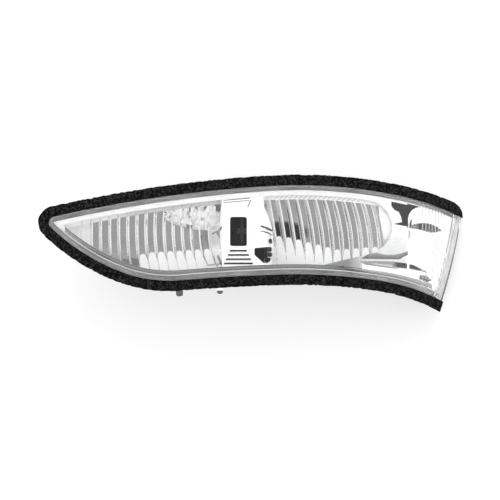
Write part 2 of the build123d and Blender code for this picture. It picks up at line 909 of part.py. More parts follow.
# Connector socket: a plug's shroud whose foot is trapped inside the housing
foot_width = socket_width + 2 * socket_foot
foot_height = socket_height + 2 * socket_foot
cavity_width = socket_width - 2 * socket_wall
cavity_height = socket_height - 2 * socket_wall
with BuildPart() as connector_socket:
    with BuildSketch(Plane.XZ.offset(-inner_back_y + socket_foot)):
        with Locations((socket_x, socket_z)):
            RectangleRounded(foot_width, foot_height, socket_corner)
    extrude(amount=-(socket_foot - seal_thickness))
    with BuildSketch(Plane.XZ.offset(-inner_back_y + socket_foot)):
        with Locations((socket_x, socket_z)):
            RectangleRounded(socket_width, socket_height, socket_corner)
    extrude(amount=-(socket_foot + socket_length + housing_wall))
    with BuildSketch(Plane.XZ.offset(-inner_back_y - socket_floor)):
        with Locations((socket_x, socket_z)):
            RectangleRounded(cavity_width, cavity_height, socket_corner / 2)
    extrude(amount=-2 * socket_length, mode=Mode.SUBTRACT)
    with BuildSketch(Plane.XZ.offset(reach)):
        with Locations(*pin_places):
            Rectangle(pin_size, pin_size)
    extrude(amount=-2 * reach, mode=Mode.SUBTRACT)
keep(connector_socket.part, "connector_socket")

with BuildPart() as socket_seal:
    with BuildSketch(Plane.XZ.offset(-inner_back_y + seal_thickness)):
        with Locations((socket_x, socket_z)):
            RectangleRounded(foot_width, foot_height, socket_corner)
            RectangleRounded(
                socket_width + 2 * socket_fit,
                socket_height + 2 * socket_fit,
                socket_corner,
                mode=Mode.SUBTRACT,
            )
    extrude(amount=-seal_thickness)
keep(socket_seal.part, "socket_seal")

with BuildPart() as terminals:
    with BuildSketch(Plane.XZ.offset(-board_front_y)):
        with Locations(*pin_places):
            Rectangle(pin_size, pin_size)
    extrude(amount=-(inner_back_y + socket_floor + pin_reach - board_front_y))
    chamfer(terminals.faces().sort_by(Axis.Y)[-pin_count:].edges(), pin_point)
keep(terminals.part, "terminals")


# Screws: pan heads, their drive recess left plain
def screws(name, places, head_y, shank_tip_y):
    """Round-headed screws whose heads sit behind or in front of a seat at head_y."""
    toward = 1 if shank_tip_y < head_y else -1
    head_plane = Plane(origin=(0, head_y, 0), x_dir=(1, 0, 0), z_dir=(0, toward, 0))
    with BuildPart() as group:
        with BuildSketch(head_plane):
            with Locations(*[(x, -toward * z) for x, z in places]):
                Circle(screw_head_radius)
        extrude(amount=screw_head_height)
        heads = group.faces().filter_by(Axis.Y).sort_by(Axis.Y)
        tops = heads[-len(places):] if toward > 0 else heads[: len(places)]
        fillet(tops.edges(), screw_head_height / 2)
        with BuildSketch(head_plane):
            with Locations(*[(x, -toward * z) for x, z in places]):
                Circle(screw_shank_radius)
        extrude(amount=-abs(head_y - shank_tip_y))
    keep(group.part, name)


screws("reflector_screws", reflector_screw_places, back_y, back_y - reflector_screw_length)
screws("board_screws", board_screw_places, board_front_y, board_front_y + board_screw_length)
screws("end_board_screw", end_screw_places, end_board_front_y, end_board_front_y + board_screw_length)

# Jumper wires from the circuit board to the end board
with BuildPart() as jumper_wires:
    for level in (-wire_gap / 2, wire_gap / 2):
        with BuildLine() as route:
            FilletPolyline(
                (wire_from_x, board_back_y, wire_z + level),
                (wire_from_x, wire_lane_y, wire_z + level),
                (wire_turn_x, wire_lane_y, wire_z + level),
                (wire_to_x - wire_step, wire_end_lane_y, wire_z + level),
                (wire_to_x, wire_end_lane_y, wire_z + level),
                (wire_to_x, end_board_front_y, wire_z + level),
                radius=wire_bend,
            )
        with BuildSketch(Plane(origin=route.line @ 0, z_dir=route.line % 0)):
            Circle(wire_radius)
        sweep()
keep(jumper_wires.part, "jumper_wires")
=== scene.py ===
import math

import bmesh
import bpy
import numpy as np
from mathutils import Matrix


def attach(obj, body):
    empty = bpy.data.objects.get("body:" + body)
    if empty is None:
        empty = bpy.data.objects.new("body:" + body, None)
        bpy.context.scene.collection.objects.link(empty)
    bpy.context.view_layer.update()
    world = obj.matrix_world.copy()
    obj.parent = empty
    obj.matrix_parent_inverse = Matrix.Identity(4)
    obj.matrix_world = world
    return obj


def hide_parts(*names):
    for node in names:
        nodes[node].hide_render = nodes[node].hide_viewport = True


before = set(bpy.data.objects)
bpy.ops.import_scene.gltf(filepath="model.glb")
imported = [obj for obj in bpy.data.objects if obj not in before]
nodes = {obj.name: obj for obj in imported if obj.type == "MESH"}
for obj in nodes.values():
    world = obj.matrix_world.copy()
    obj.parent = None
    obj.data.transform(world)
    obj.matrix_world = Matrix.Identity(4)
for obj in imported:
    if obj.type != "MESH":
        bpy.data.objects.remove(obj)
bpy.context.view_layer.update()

# Camera
# The lamp is seen square on, lens towards the camera, from so far away that its sides don't converge.
# The picture is 250 mm wide at the front of the lens.
view_distance = 4.0
view_width = 0.250
view_centre_x = 0.0
view_centre_z = -0.009
lens_plane_y = -0.038
sensor_width = 36.0
camera_data = bpy.data.cameras.new("camera")
camera = bpy.data.objects.new("camera", camera_data)
bpy.context.scene.collection.objects.link(camera)
camera.location = (view_centre_x, lens_plane_y - view_distance, view_centre_z)
camera.rotation_euler = (math.radians(90), 0, 0)
camera_data.sensor_width = sensor_width
camera_data.lens = sensor_width * view_distance / view_width
camera_data.clip_end = 20.0
bpy.context.scene.camera = camera
bpy.context.scene.view_settings.view_transform = "Standard"

# Studio light
# A white tent lights the lamp evenly from all round. The gap between its two side walls, where the
# camera stands, is darker from low to high, which draws the grey lines in the bright coating. Light
# that reaches a white face through the lens is made up for what the lens and the bowls take away.
tent_strength = 1.08
lens_loss = 2.2
gap_tone = 0.34
edge_tone = 0.06
edge_width = 0.035
gap_inner = 0.34
gap_outer = 0.52
gap_top = 0.92
gap_fade = 0.05
gap_from_y = -0.2
table_tone = 0.92
table_low = -0.9


def calculation(tree, operation, first, second=0.0):
    """One sum in a node tree; each input is an earlier output or a plain number."""
    node = tree.nodes.new("ShaderNodeMath")
    node.operation = operation
    for socket, value in zip(node.inputs, (first, second)):
        if isinstance(value, (int, float)):
            socket.default_value = value
        else:
            tree.links.new(value, socket)
    return node.outputs[0]


def product(tree, first, *others):
    """The product of two or more outputs."""
    for other in others:
        first = calculation(tree, "MULTIPLY", first, other)
    return first


def change(tree, value, start, stop, low=0.0, high=1.0, curve="LINEAR"):
    """A value that goes from low to high while the given one goes from start to stop."""
    node = tree.nodes.new("ShaderNodeMapRange")
    node.interpolation_type = curve
    node.inputs["From Min"].default_value = start
    node.inputs["From Max"].default_value = stop
    node.inputs["To Min"].default_value = low
    node.inputs["To Max"].default_value = high
    tree.links.new(value, node.inputs["Value"])
    return node.outputs[0]


def mixed(tree, amount, first, second):
    """The first shader where the amount is nought and the second where it is one."""
    node = tree.nodes.new("ShaderNodeMixShader")
    for socket, value in zip(node.inputs, (amount, first, second)):
        tree.links.new(value, socket)
    return node.outputs[0]


def parts(tree, vector):
    """The X, Y and Z outputs of a vector output."""
    node = tree.nodes.new("ShaderNodeSeparateXYZ")
    tree.links.new(vector, node.inputs[0])
    return node.outputs


world = bpy.data.worlds.new("tent")
bpy.context.scene.world = world
world.use_nodes = True
sky = world.node_tree
sky.nodes.clear()
output = sky.nodes.new("ShaderNodeOutputWorld")
lit = sky.nodes.new("ShaderNodeBackground")
lit.inputs["Color"].default_value = (1, 1, 1, 1)
shown = sky.nodes.new("ShaderNodeBackground")
shown.inputs["Color"].default_value = (1, 1, 1, 1)
ray = sky.nodes.new("ShaderNodeLightPath").outputs


def sky_change(value, start, stop, low, high):
    """A smooth change in the tent's light."""
    return change(sky, value, start, stop, low, high, "SMOOTHSTEP")


direction = parts(sky, sky.nodes.new("ShaderNodeTexCoord").outputs["Generated"])
aside = calculation(sky, "ABSOLUTE", direction["X"])
rise = calculation(sky, "ABSOLUTE", direction["Z"])
in_gap = product(
    sky,
    sky_change(aside, gap_inner, gap_outer, 1.0, 0.0),
    sky_change(rise, gap_top, gap_top + gap_fade, 1.0, 0.0),
    sky_change(direction["Y"], gap_from_y, 0.0, 1.0, 0.0),
    sky_change(ray["Diffuse Depth"], 0.0, 1.0, 1.0, 0.0),
)
brightness = calculation(sky, "SUBTRACT", 1.0, calculation(sky, "MULTIPLY", in_gap, 1.0 - gap_tone))
from_edge = calculation(sky, "ABSOLUTE", calculation(sky, "SUBTRACT", aside, gap_inner))
black_edge = product(sky, in_gap, sky_change(from_edge, 0.0, edge_width, gap_tone - edge_tone, 0.0))
brightness = calculation(sky, "SUBTRACT", brightness, black_edge)
above_table = sky_change(direction["Z"], table_low, 0.0, table_tone * tent_strength, tent_strength)
behind_lens = product(
    sky,
    sky_change(ray["Diffuse Depth"], 0.0, 1.0, 0.0, 1.0),
    sky_change(ray["Transmission Depth"], 0.0, 1.0, 0.0, lens_loss - 1.0),
)
made_up = calculation(sky, "ADD", behind_lens, 1.0)
sky.links.new(product(sky, brightness, above_table, made_up), lit.inputs["Strength"])
tent = mixed(sky, ray["Is Camera Ray"], lit.outputs[0], shown.outputs[0])
sky.links.new(tent, output.inputs["Surface"])

# Housing
# The back shell is dark filled plastic, moulded in one piece with its fixing bosses and ribs,
# and its outer face has a fine spark-eroded grain.
cloud_cells = 1 / 9
cloud_edges = (0.3, 0.7)
polish_spread = 0.1


def finish(name, dark, pale, roughness, grain, height, *pieces):
    """One moulded or plated finish. Its colour wanders from the dark tone to the pale one and its
    roughness by a fifth with a broad cloud, and a fine grain of that many cells a metre lifts it."""
    material = bpy.data.materials.new(name)
    material.use_nodes = True
    tree = material.node_tree
    shader = tree.nodes["Principled BSDF"]
    place = tree.nodes.new("ShaderNodeTexCoord")
    cloud = tree.nodes.new("ShaderNodeTexNoise")
    cloud.inputs["Scale"].default_value = grain * cloud_cells
    cloud.inputs["Detail"].default_value = 4
    tree.links.new(place.outputs["Object"], cloud.inputs["Vector"])
    speckle = tree.nodes.new("ShaderNodeTexNoise")
    speckle.inputs["Scale"].default_value = grain
    speckle.inputs["Detail"].default_value = 3
    tree.links.new(place.outputs["Object"], speckle.inputs["Vector"])
    tone = tree.nodes.new("ShaderNodeValToRGB")
    for element, edge, colour in zip(tone.color_ramp.elements, cloud_edges, (dark, pale)):
        element.position = edge
        element.color = (*colour, 1)
    tree.links.new(cloud.outputs["Fac"], tone.inputs["Fac"])
    tree.links.new(tone.outputs["Color"], shader.inputs["Base Color"])
    smooth, rough = roughness * (1 - polish_spread), roughness * (1 + polish_spread)
    polish = change(tree, cloud.outputs["Fac"], 0.0, 1.0, smooth, rough)
    tree.links.new(polish, shader.inputs["Roughness"])
    lift = tree.nodes.new("ShaderNodeBump")
    lift.inputs["Distance"].default_value = height
    tree.links.new(speckle.outputs["Fac"], lift.inputs["Height"])
    tree.links.new(lift.outputs["Normal"], shader.inputs["Normal"])
    for piece in pieces:
        piece.data.materials.clear()
        piece.data.materials.append(material)
    return material, tree, shader


finish(
    "housing_plastic", (0.020, 0.021, 0.024), (0.040, 0.040, 0.044), 0.5, 2600, 0.00005, nodes["housing"]
)

# Vent membrane
# A disc of white expanded membrane is welded over the breather hole. It lets air through and keeps
# water out.
finish("membrane", (0.7, 0.7, 0.69), (0.88, 0.88, 0.87), 0.85, 4000, 0.00003, nodes["vent_membrane"])

# Plug socket
# The plug's shroud is black moulded plastic with three tinned pins pressed into it, and its foot sits
# on a soft ring in the housing's back.
finish(
    "socket_plastic", (0.02, 0.02, 0.022), (0.035, 0.035, 0.037), 0.4, 3000, 0.00003,
    nodes["connector_socket"],
)
finish("seal_rubber", (0.12, 0.12, 0.12), (0.17, 0.17, 0.17), 0.7, 2500, 0.00003, nodes["socket_seal"])
_, _, shader = finish(
    "pin_metal", (0.70, 0.68, 0.62), (0.82, 0.80, 0.75), 0.25, 3500, 0.00001, nodes["terminals"]
)
shader.inputs["Metallic"].default_value = 1.0

# Circuit boards
# Three boards of glass laminate under a nearly black solder resist, in which the tracks show as a
# relief. Two are screwed to posts of the housing, and the third stands upright on the larger one.
_, _, shader = finish(
    "circuit_laminate", (0.007, 0.012, 0.010), (0.016, 0.028, 0.022), 0.35, 1500, 0.00003,
    nodes["circuit_board"], nodes["led_board"], nodes["end_board"],
)
shader.inputs["Coat Weight"].default_value = 0.05
shader.inputs["Coat Roughness"].default_value = 0.4
shader.inputs["Specular IOR Level"].default_value = 0.2

# Soldered parts
# Black moulded parts, pale ceramic resistors, and light sources with a smoked dark body, all
# soldered to the boards.
finish(
    "component_body", (0.02, 0.02, 0.02), (0.05, 0.05, 0.05), 0.45, 5000, 0.00002,
    nodes["diode"], nodes["capacitor"], nodes["regulator"],
)
finish("component_pale", (0.42, 0.36, 0.26), (0.6, 0.53, 0.4), 0.5, 5000, 0.00002, nodes["resistors"])
finish(
    "led_body", (0.06, 0.055, 0.045), (0.10, 0.09, 0.075), 0.3, 4000, 0.00001,
    nodes["led_left"], nodes["led_right"], nodes["led_end"],
)

# Wires and screws
# Two thin jacketed wires run from the circuit board to the end board. The screws, of zinc-plated steel,
# hold the reflector and the boards.
finish("wire_jacket", (0.30, 0.02, 0.02), (0.42, 0.04, 0.04), 0.4, 2500, 0.00002, nodes["jumper_wires"])
_, _, shader = finish(
    "screw_steel", (0.50, 0.50, 0.50), (0.68, 0.68, 0.69), 0.3, 3000, 0.00002,
    nodes["reflector_screws"], nodes["board_screws"], nodes["end_board_screw"],
)
shader.inputs["Metallic"].default_value = 1.0

# Reflector bowls
# The reflector is moulded plastic with a vacuum coating of aluminium. A round-rimmed wheel cut each
# upright flute into the mould, so the flutes end in arches on the sloping floor.
millimetre = 0.001
crown_radius = 120.0
lamp_depth = 46.0
flat_radius = 520.0
turn_radius = 120.0
end_radius = 62.0
crest_x = -20.0
turn_angle = math.radians(7.0)
wrap_angle = math.radians(28.0)
axis_y = crown_radius - lamp_depth
tip_x = -103.3
tip_z = 6.3
upper_heading = 13.06
upper_arcs = [(687.0, -9.45), (248.0, -15.4), (132.0, -16.0)]
lower_heading = -46.66
lower_arcs = [(104.6, 26.0), (67.0, 25.4), (947.0, -3.0), (273.0, -10.8), (102.0, -26.0)]
opening_grow = -4.9
ledge_width = 2.0
ledge_depth = 6.3
wheel_radius = 30.0
wheel_z = 2.0
trough_y = -21.1
tread_fall = 0.03
tread_fade = 0.3
flank_fall = 0.42
floor_slope = 0.10
floor_fade = 0.04
front_fade = 0.8
coat_overlap = 0.15
mark_fade = 0.17


def edge_curve(heading, arcs, grow, count=240):
    """One long edge of the front outline: arcs joined tangent to tangent from the inboard tip, each
    point moved by grow along the outward normal. Returns the points and the outward normals."""
    outward = 90 if heading > 0 else -90
    start = np.array([tip_x, tip_z])
    points = []
    normals = []
    for radius, turn in arcs:
        side = 90 * np.sign(turn)
        inward = math.radians(heading + side)
        centre = start + radius * np.array([math.cos(inward), math.sin(inward)])
        angles = np.radians(heading + np.linspace(0, turn, count))
        spoke = angles - math.radians(side)
        line = centre + radius * np.stack([np.cos(spoke), np.sin(spoke)], axis=1)
        across = angles + math.radians(outward)
        normal = np.stack([np.cos(across), np.sin(across)], axis=1)
        points.append(line)
        normals.append(normal)
        start = line[-1]
        heading = heading + turn
    points = np.concatenate(points)
    normals = np.concatenate(normals)
    return points + grow * normals, normals


def edges(grow):
    """The upper and the lower long edge of the front outline, both grown by an amount."""
    upper, _ = edge_curve(upper_heading, upper_arcs, grow)
    lower, _ = edge_curve(lower_heading, lower_arcs, grow)
    return upper, lower


def height_of(line, x):
    """Z of a long edge at each X."""
    return np.interp(x, line[:, 0], line[:, 1])


def lens_surface(x, z, depth):
    """Y of the surface a depth under the lens: a plan curve of three tangent arcs gives the distance
    from the long axis at each X, and the surface is that curve turned about the axis."""
    flat_y = crown_radius - flat_radius
    turn_x = crest_x + (flat_radius - turn_radius) * math.sin(turn_angle)
    turn_y = flat_y + (flat_radius - turn_radius) * math.cos(turn_angle)
    last_x = turn_x + (turn_radius - end_radius) * math.sin(wrap_angle)
    last_y = turn_y + (turn_radius - end_radius) * math.cos(wrap_angle)
    flat = flat_y + np.sqrt((flat_radius - depth) ** 2 - (x - crest_x) ** 2)
    turn = turn_y + np.sqrt(np.maximum((turn_radius - depth) ** 2 - (x - turn_x) ** 2, 0))
    last = last_y + np.sqrt(np.maximum((end_radius - depth) ** 2 - (x - last_x) ** 2, 0))
    on_flat = x < crest_x + (flat_radius - depth) * math.sin(turn_angle)
    on_turn = x < turn_x + (turn_radius - depth) * math.sin(wrap_angle)
    distance = np.where(on_flat, flat, np.where(on_turn, turn, last))
    return axis_y - np.sqrt(distance**2 - z**2)


def fluted_depth(x, z, first, pitch, count, deep_x, shallow_x, rise, fan, lean, tread_half, arches):
    """The bowl's Y over each X and Z, and how much is floor and tread. Each flute's middle line is the
    arc of a wheel that fans out and leans; across it lie a nearly flat tread and two curved flanks.
    Under its arch height each flute is filled by a floor that comes forward a little faster than
    the arc falls. The flutes rise towards the shallow end with the fourth power of the distance."""
    depth = np.full(x.shape, -np.inf)
    share = np.zeros(x.shape)
    tread = np.zeros(x.shape)
    sunk = wheel_radius - np.sqrt(wheel_radius**2 - (z - wheel_z) ** 2)
    for place in range(count):
        wheel_x = first + pitch * place
        swing = math.radians(fan * place / (count - 1))
        deep_y = trough_y - rise * ((wheel_x - deep_x) / (shallow_x - deep_x)) ** 4
        middle_x = wheel_x + (z - wheel_z) * math.tan(math.radians(lean)) + sunk * math.sin(swing)
        across = np.abs(x - middle_x)
        trough = deep_y - sunk * math.cos(swing)
        fall = tread_fall * across**2 + flank_fall * np.maximum(across - tread_half, 0) ** 2
        floor = trough + floor_slope * (z - np.interp(wheel_x, *arches))
        flute = np.minimum(trough - fall, floor)
        share = np.where(flute > depth, np.clip((trough - fall - floor) / floor_fade, 0, 1), share)
        tread = np.where(flute > depth, np.clip((tread_half + tread_fade - across) / tread_fade, 0, 1), tread)
        depth = np.maximum(depth, flute)
    front = lens_surface(x, z, ledge_depth)
    share = np.maximum(share, np.clip((front + front_fade - depth) / front_fade, 0, 1))
    return np.maximum(depth, front), share, tread * (1 - share)


def marks(x, z, lines):
    """How dark each point is under a set of short marks: each is a line from one X and Z to another,
    with a half width and a darkness, and its edge fades over a third of a millimetre."""
    dark = np.zeros(x.shape)
    for x_0, z_0, x_1, z_1, half, strength in lines:
        run = np.array([x_1 - x_0, z_1 - z_0])
        share = np.clip(((x - x_0) * run[0] + (z - z_0) * run[1]) / (run @ run), 0, 1)
        away = np.hypot(x - x_0 - share * run[0], z - z_0 - share * run[1])
        dark = np.maximum(dark, strength * np.clip((half + mark_fade - away) / (2 * mark_fade), 0, 1))
    return dark


def paint(piece, name, values, domain="POINT"):
    """Stores one value for each point or face of a piece, for its material to read."""
    layer = piece.data.attributes.new(name, "FLOAT", domain)
    layer.data.foreach_set("value", values.astype(np.float32).ravel())


def grid_piece(name, points, wrap=False):
    """A mesh from a grid of points in millimetres: each cell is one face, turned so that its front
    looks along column direction cross row direction, and wrap joins the last column to the first."""
    rows, columns = points.shape[:2]
    index = np.arange(rows * columns).reshape(rows, columns)
    if wrap:
        index = np.concatenate([index, index[:, :1]], axis=1)
    corners = [index[:-1, :-1], index[:-1, 1:], index[1:, 1:], index[1:, :-1]]
    faces = np.stack(corners, axis=-1).reshape(-1, 4)
    mesh = bpy.data.meshes.new(name)
    mesh.from_pydata((points.reshape(-1, 3) * millimetre).tolist(), [], faces.tolist())
    mesh.polygons.foreach_set("use_smooth", np.ones(len(faces), dtype=bool))
    mesh.update()
    piece = bpy.data.objects.new(name, mesh)
    bpy.context.scene.collection.objects.link(piece)
    return piece


upper_line, lower_line = edges(opening_grow)


def coating(name, x_from, x_to, columns, rows, rim, satin_side, dark_lines, shadow, flutes):
    """The coating of one bowl: X runs along the lamp and Z from the bowl's lower edge to its ledge,
    both in even steps, and Y is the fluted depth. It is satin on the floor and on the satin side. It is
    painted dark under its marks, which are painted reflection and shade, and on the treads inside a
    painted shadow. The shadow is an ellipse, given by its middle's X and Z, its two half axes, how dark
    it is and how sharply it ends."""
    x = np.linspace(x_from, x_to, columns)
    low, high = rim(x, height_of(lower_line, x), height_of(upper_line, x) - ledge_width)
    high = np.maximum(high, low + coat_overlap)
    share = np.linspace(0, 1, rows)
    z = (low - coat_overlap)[None, :] + (high - low + 2 * coat_overlap)[None, :] * share[:, None]
    x = np.broadcast_to(x, z.shape)
    y, floor, tread = fluted_depth(x, z, **flutes)
    piece = grid_piece(name, np.stack([x, y, z], axis=-1))
    satin = np.maximum(floor, np.clip((x - satin_side[0]) / (satin_side[1] - satin_side[0]), 0, 1))
    paint(piece, "satin", satin)
    shadow_x, shadow_z, reach_x, reach_z, strength, hardness = shadow
    away = ((x - shadow_x) / reach_x) ** 2 + ((z - shadow_z) / reach_z) ** 2
    shade = strength * tread * np.clip(hardness * (1 - away), 0, 1)
    paint(piece, "dark", np.maximum(shade, marks(x, z, dark_lines)))
    return piece


def whole_opening(x, low, high):
    """The left bowl fills its opening."""
    return low, high


bowl_end_x = 54.0
bowl_end_z = 2.6
bowl_end_half_length = 17.0
bowl_end_half_height = 14.3
rim_from = (36.0, -16.6)
rim_to = (58.65, -11.15)


def rounded_end(x, low, high):
    """The right bowl ends in half an ellipse, which a slanting rim joins to the lower edge."""
    reach = np.clip((x - bowl_end_x) / bowl_end_half_length, 0, 1)
    half = bowl_end_half_height * np.sqrt(1 - reach**2)
    slant = np.interp(x, [rim_from[0], rim_to[0]], [rim_from[1], rim_to[1]])
    rim = np.where(x < rim_to[0], slant, bowl_end_z - half)
    low = np.where(x > rim_from[0], np.maximum(low, rim), low)
    high = np.where(x > bowl_end_x, np.minimum(high, bowl_end_z + half), high)
    return low, high


flute_pitch = 4.55
left_flutes = {
    "first": -90.9, "pitch": flute_pitch, "count": 16, "deep_x": -13.5, "shallow_x": -96.0, "rise": 15.0,
    "fan": 30.0, "lean": 0.0, "tread_half": 1.3, "arches": ([-62, -58, -54, -22], [-25, -15, -10, -8.2]),
}
# Painted reflection: these dark marks draw the left-hand light source as the curved end of the bowl shows it.
# The left shadow below is a faint painted shadow on the treads beside it.
left_reflection_marks = [
    (-18.75, -0.75, -16.5, 0.25, 0.3, 0.95), (-16.5, -1.0, -14.3, 2.3, 0.4, 0.95),
    (-16.0, 0.0, -15.3, -2.6, 0.45, 0.8), (-23.1, -12.0, -21.1, -16.6, 0.2, 0.8),
    (-21.1, -16.6, -17.4, -16.2, 0.25, 0.85), (-17.4, -16.2, -18.2, -12.0, 0.2, 0.8),
    (-16.0, -12.0, -14.2, -16.0, 0.6, 0.85), (-21.2, 5.3, -21.0, 3.0, 0.55, 0.5),
]
left_shadow = (-16.0, -1.0, 9.0, 9.0, 0.25, 2.2)
right_flutes = {
    "first": 9.0, "pitch": 4.8, "count": 13, "deep_x": 7.0, "shallow_x": 71.0, "rise": 7.0,
    "fan": -30.0, "lean": -9.0, "tread_half": 1.0,
    "arches": ([9, 15, 20, 27, 42, 71], [-0.5, -2, -2.5, -4.5, -8.5, -6.5]),
}
# Painted shade: three broad dark marks fill the open pocket beside the shroud, and a narrower dark mark lies
# above them. The right shadow below is a deep painted shadow on the treads next to the shroud.
right_painted_marks = [
    (7.6, -8.6, 10.0, -8.6, 1.2, 0.97), (7.6, -11.0, 9.9, -11.2, 1.2, 0.97),
    (7.6, -13.6, 9.2, -13.8, 1.2, 0.97), (9.2, -1.0, 9.8, -5.4, 0.7, 0.6),
]
right_shadow = (16.0, -0.4, 14.5, 6.3, 0.94, 2.2)
coatings = [
    coating(
        "left_bowl_coating", x_from=-93.2, x_to=-13.4, columns=420, rows=90, rim=whole_opening,
        satin_side=(-79.4, -80.0), dark_lines=left_reflection_marks, shadow=left_shadow, flutes=left_flutes,
    ),
    coating(
        "right_bowl_coating", x_from=6.9, x_to=71.0, columns=360, rows=90, rim=rounded_end,
        satin_side=(80.0, 81.0), dark_lines=right_painted_marks, shadow=right_shadow, flutes=right_flutes,
    ),
]
bright_coating, tree, shader = finish(
    "bright_coating", (0.90, 0.895, 0.89), (0.94, 0.937, 0.935), 0.045, 900, 0.000003, *coatings
)


def attribute(tree, name):
    """Reads one painted value of the piece."""
    node = tree.nodes.new("ShaderNodeAttribute")
    node.attribute_name = name
    return node.outputs["Fac"]


def darken(tree, shader, amount, deep):
    """Replaces the base colour by a deep tone where the amount is one."""
    node = tree.nodes.new("ShaderNodeMix")
    node.data_type = "RGBA"
    node.inputs["B"].default_value = (*deep, 1)
    tree.links.new(amount, node.inputs["Factor"])
    tree.links.new(shader.inputs["Base Color"].links[0].from_socket, node.inputs["A"])
    tree.links.new(node.outputs["Result"], shader.inputs["Base Color"])


# Painted shadow, shade and reflection: the coating takes this deep tone where its dark value is one.
painted_dark_tone = (0.012, 0.012, 0.013)
darken(tree, shader, attribute(tree, "dark"), painted_dark_tone)
tree.links.new(change(tree, attribute(tree, "satin"), 0.0, 1.0, 1.0, 0.0), shader.inputs["Metallic"])
for piece in coatings:
    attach(piece, "root")

# Border of the reflector
# The border has the same coating as the bowls. It is frosted where it faces up and polished where it
# faces down a little, and its undersides are painted grey as shade.
polished_below = -0.06
frosted_above = 0.02
frosted_metal = 0.1
underside_shade_start = -0.35
underside_shade_full = -0.55
underside_shade_tone = (0.60, 0.60, 0.60)


def facing(tree):
    """The X, Y and Z outputs of the direction that the surface faces."""
    return parts(tree, tree.nodes.new("ShaderNodeNewGeometry").outputs["Normal"])


_, tree, shader = finish(
    "border_coating", (0.84, 0.84, 0.845), (0.93, 0.93, 0.935), 0.22, 2500, 0.000006, nodes["reflector"]
)
polish = change(tree, facing(tree)["Z"], polished_below, frosted_above, 1.0, frosted_metal)
tree.links.new(polish, shader.inputs["Metallic"])
# Painted shade: faces that look down are painted grey.
darken(tree, shader, change(tree, facing(tree)["Z"], underside_shade_start, underside_shade_full), underside_shade_tone)

# End reflector
# A white-looking frosted coating on a small moulding with a cup. Only the bar across the cup, which
# is given as a box here, is polished and thinly coated.
bar_x = (0.0795, 0.0970)
bar_y = (-0.0180, -0.0135)
bar_z = (-0.0004, 0.0050)
bar_edge = 0.0001
bar_tone = (0.26, 0.26, 0.255)
bar_metal = 0.95


def placing(tree):
    """The X, Y and Z outputs of the place on the lamp, in metres."""
    return parts(tree, tree.nodes.new("ShaderNodeTexCoord").outputs["Object"])


_, tree, shader = finish(
    "satin_coating", (0.95, 0.95, 0.952), (0.98, 0.98, 0.982), 0.2, 2500, 0.000004, nodes["end_reflector"]
)
bar_place = placing(tree)
in_bar = product(tree, *[
    change(tree, bar_place[axis], edge - bar_edge * sign, edge + bar_edge * sign)
    for axis, limits in (("X", bar_x), ("Z", bar_z), ("Y", bar_y))
    for edge, sign in zip(limits, (1, -1))
])
darken(tree, shader, in_bar, bar_tone)
tree.links.new(change(tree, in_bar, 0.0, 1.0, frosted_metal, bar_metal), shader.inputs["Metallic"])

# Centre shroud
# The cover between the bowls has the same frosted coating. The undersides of its steps are painted
# dark as shade.
louvre_top_z = -0.0076
louvre_edge = 0.0002
step_shade_start = -0.17
step_shade_full = -0.28
_, tree, shader = finish(
    "shroud_coating", (0.95, 0.95, 0.952), (0.98, 0.98, 0.982), 0.2, 2500, 0.000004, nodes["centre_shroud"]
)
# Painted shade: below the louvres' top, faces that look down are painted dark.
among_steps = change(tree, placing(tree)["Z"], louvre_top_z + louvre_edge, louvre_top_z - louvre_edge)
underside = change(tree, facing(tree)["Z"], step_shade_start, step_shade_full)
darken(tree, shader, product(tree, among_steps, underside), painted_dark_tone)

# Ledges of the bowls
# A narrow coated ledge runs along the top of each bowl. The left one has a tick where each flute ends,
# and the right one has fine slanting ones. The ticks, the greys along both ledges and the left one's
# dark lower edge are painted shade.
band_lift = 0.07
tick_fade = 0.1
ledge_gap = 0.1
left_ledge_x = (-87.0, -14.6)
left_tick_x = -88.6
tick_groove = 0.2
tick_groove_half = 0.12
right_ledge_x = (12.0, 54.0)
right_tick_x = 12.0
right_tick_pitch = 2.4
right_tick_slant = 2.2
right_tick_tone = 0.5
right_tick_half = 0.18
right_grey_x = 30.0
right_grey = 0.05
ledge_greys = (0.12, 0.34)
ledge_grey_x = (-72.0, -58.0)
ledge_tick_tone = 0.8
ledge_tick_half = 0.22
ledge_foot_share = 0.02
ledge_foot_tone = 0.3


def band(name, x, low, high, rows, depth, tones, bulge=0.0, groove=0.0, satin=False):
    """A band between a low and a high line over X, a depth under the lens, bulging forward by half a
    sine wave across it, with a groove added to Y. Tones gives how dark it is from X and from the share
    of the way across it."""
    share = np.linspace(0, 1, rows)[:, None]
    z = low[None, :] + (high - low)[None, :] * share
    x = np.broadcast_to(x, z.shape)
    y = lens_surface(x, z, depth - band_lift) - bulge * np.sin(math.pi * share) + groove
    piece = grid_piece(name, np.stack([x, y, z], axis=-1))
    paint(piece, "satin", np.full(z.shape, float(satin)))
    paint(piece, "dark", np.clip(tones(x, share) + np.zeros(z.shape), 0, 1))
    piece.data.materials.append(bright_coating)
    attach(piece, "root")


def ticks(x, first, pitch, half):
    """One at each tick and nought between: a row of ticks with a half width."""
    away = np.abs((x - first) / pitch - np.round((x - first) / pitch)) * pitch
    return np.clip((half + tick_fade - away) / (2 * tick_fade), 0, 1)


def left_ledge_tones(x, share):
    """Dark ticks and a dark lower edge on a pale grey that deepens away from the tip."""
    ticked = ledge_tick_tone * ticks(x, left_tick_x, flute_pitch, ledge_tick_half)
    return ticked + np.interp(x, ledge_grey_x, ledge_greys) + ledge_foot_tone * (share < ledge_foot_share)


def right_ledge_tones(x, share):
    """Slanting ticks, on a ledge that is a little greyer towards the shroud."""
    slanting = ticks(x - right_tick_slant * share, right_tick_x, right_tick_pitch, right_tick_half)
    return right_tick_tone * slanting + right_grey * (x < right_grey_x)


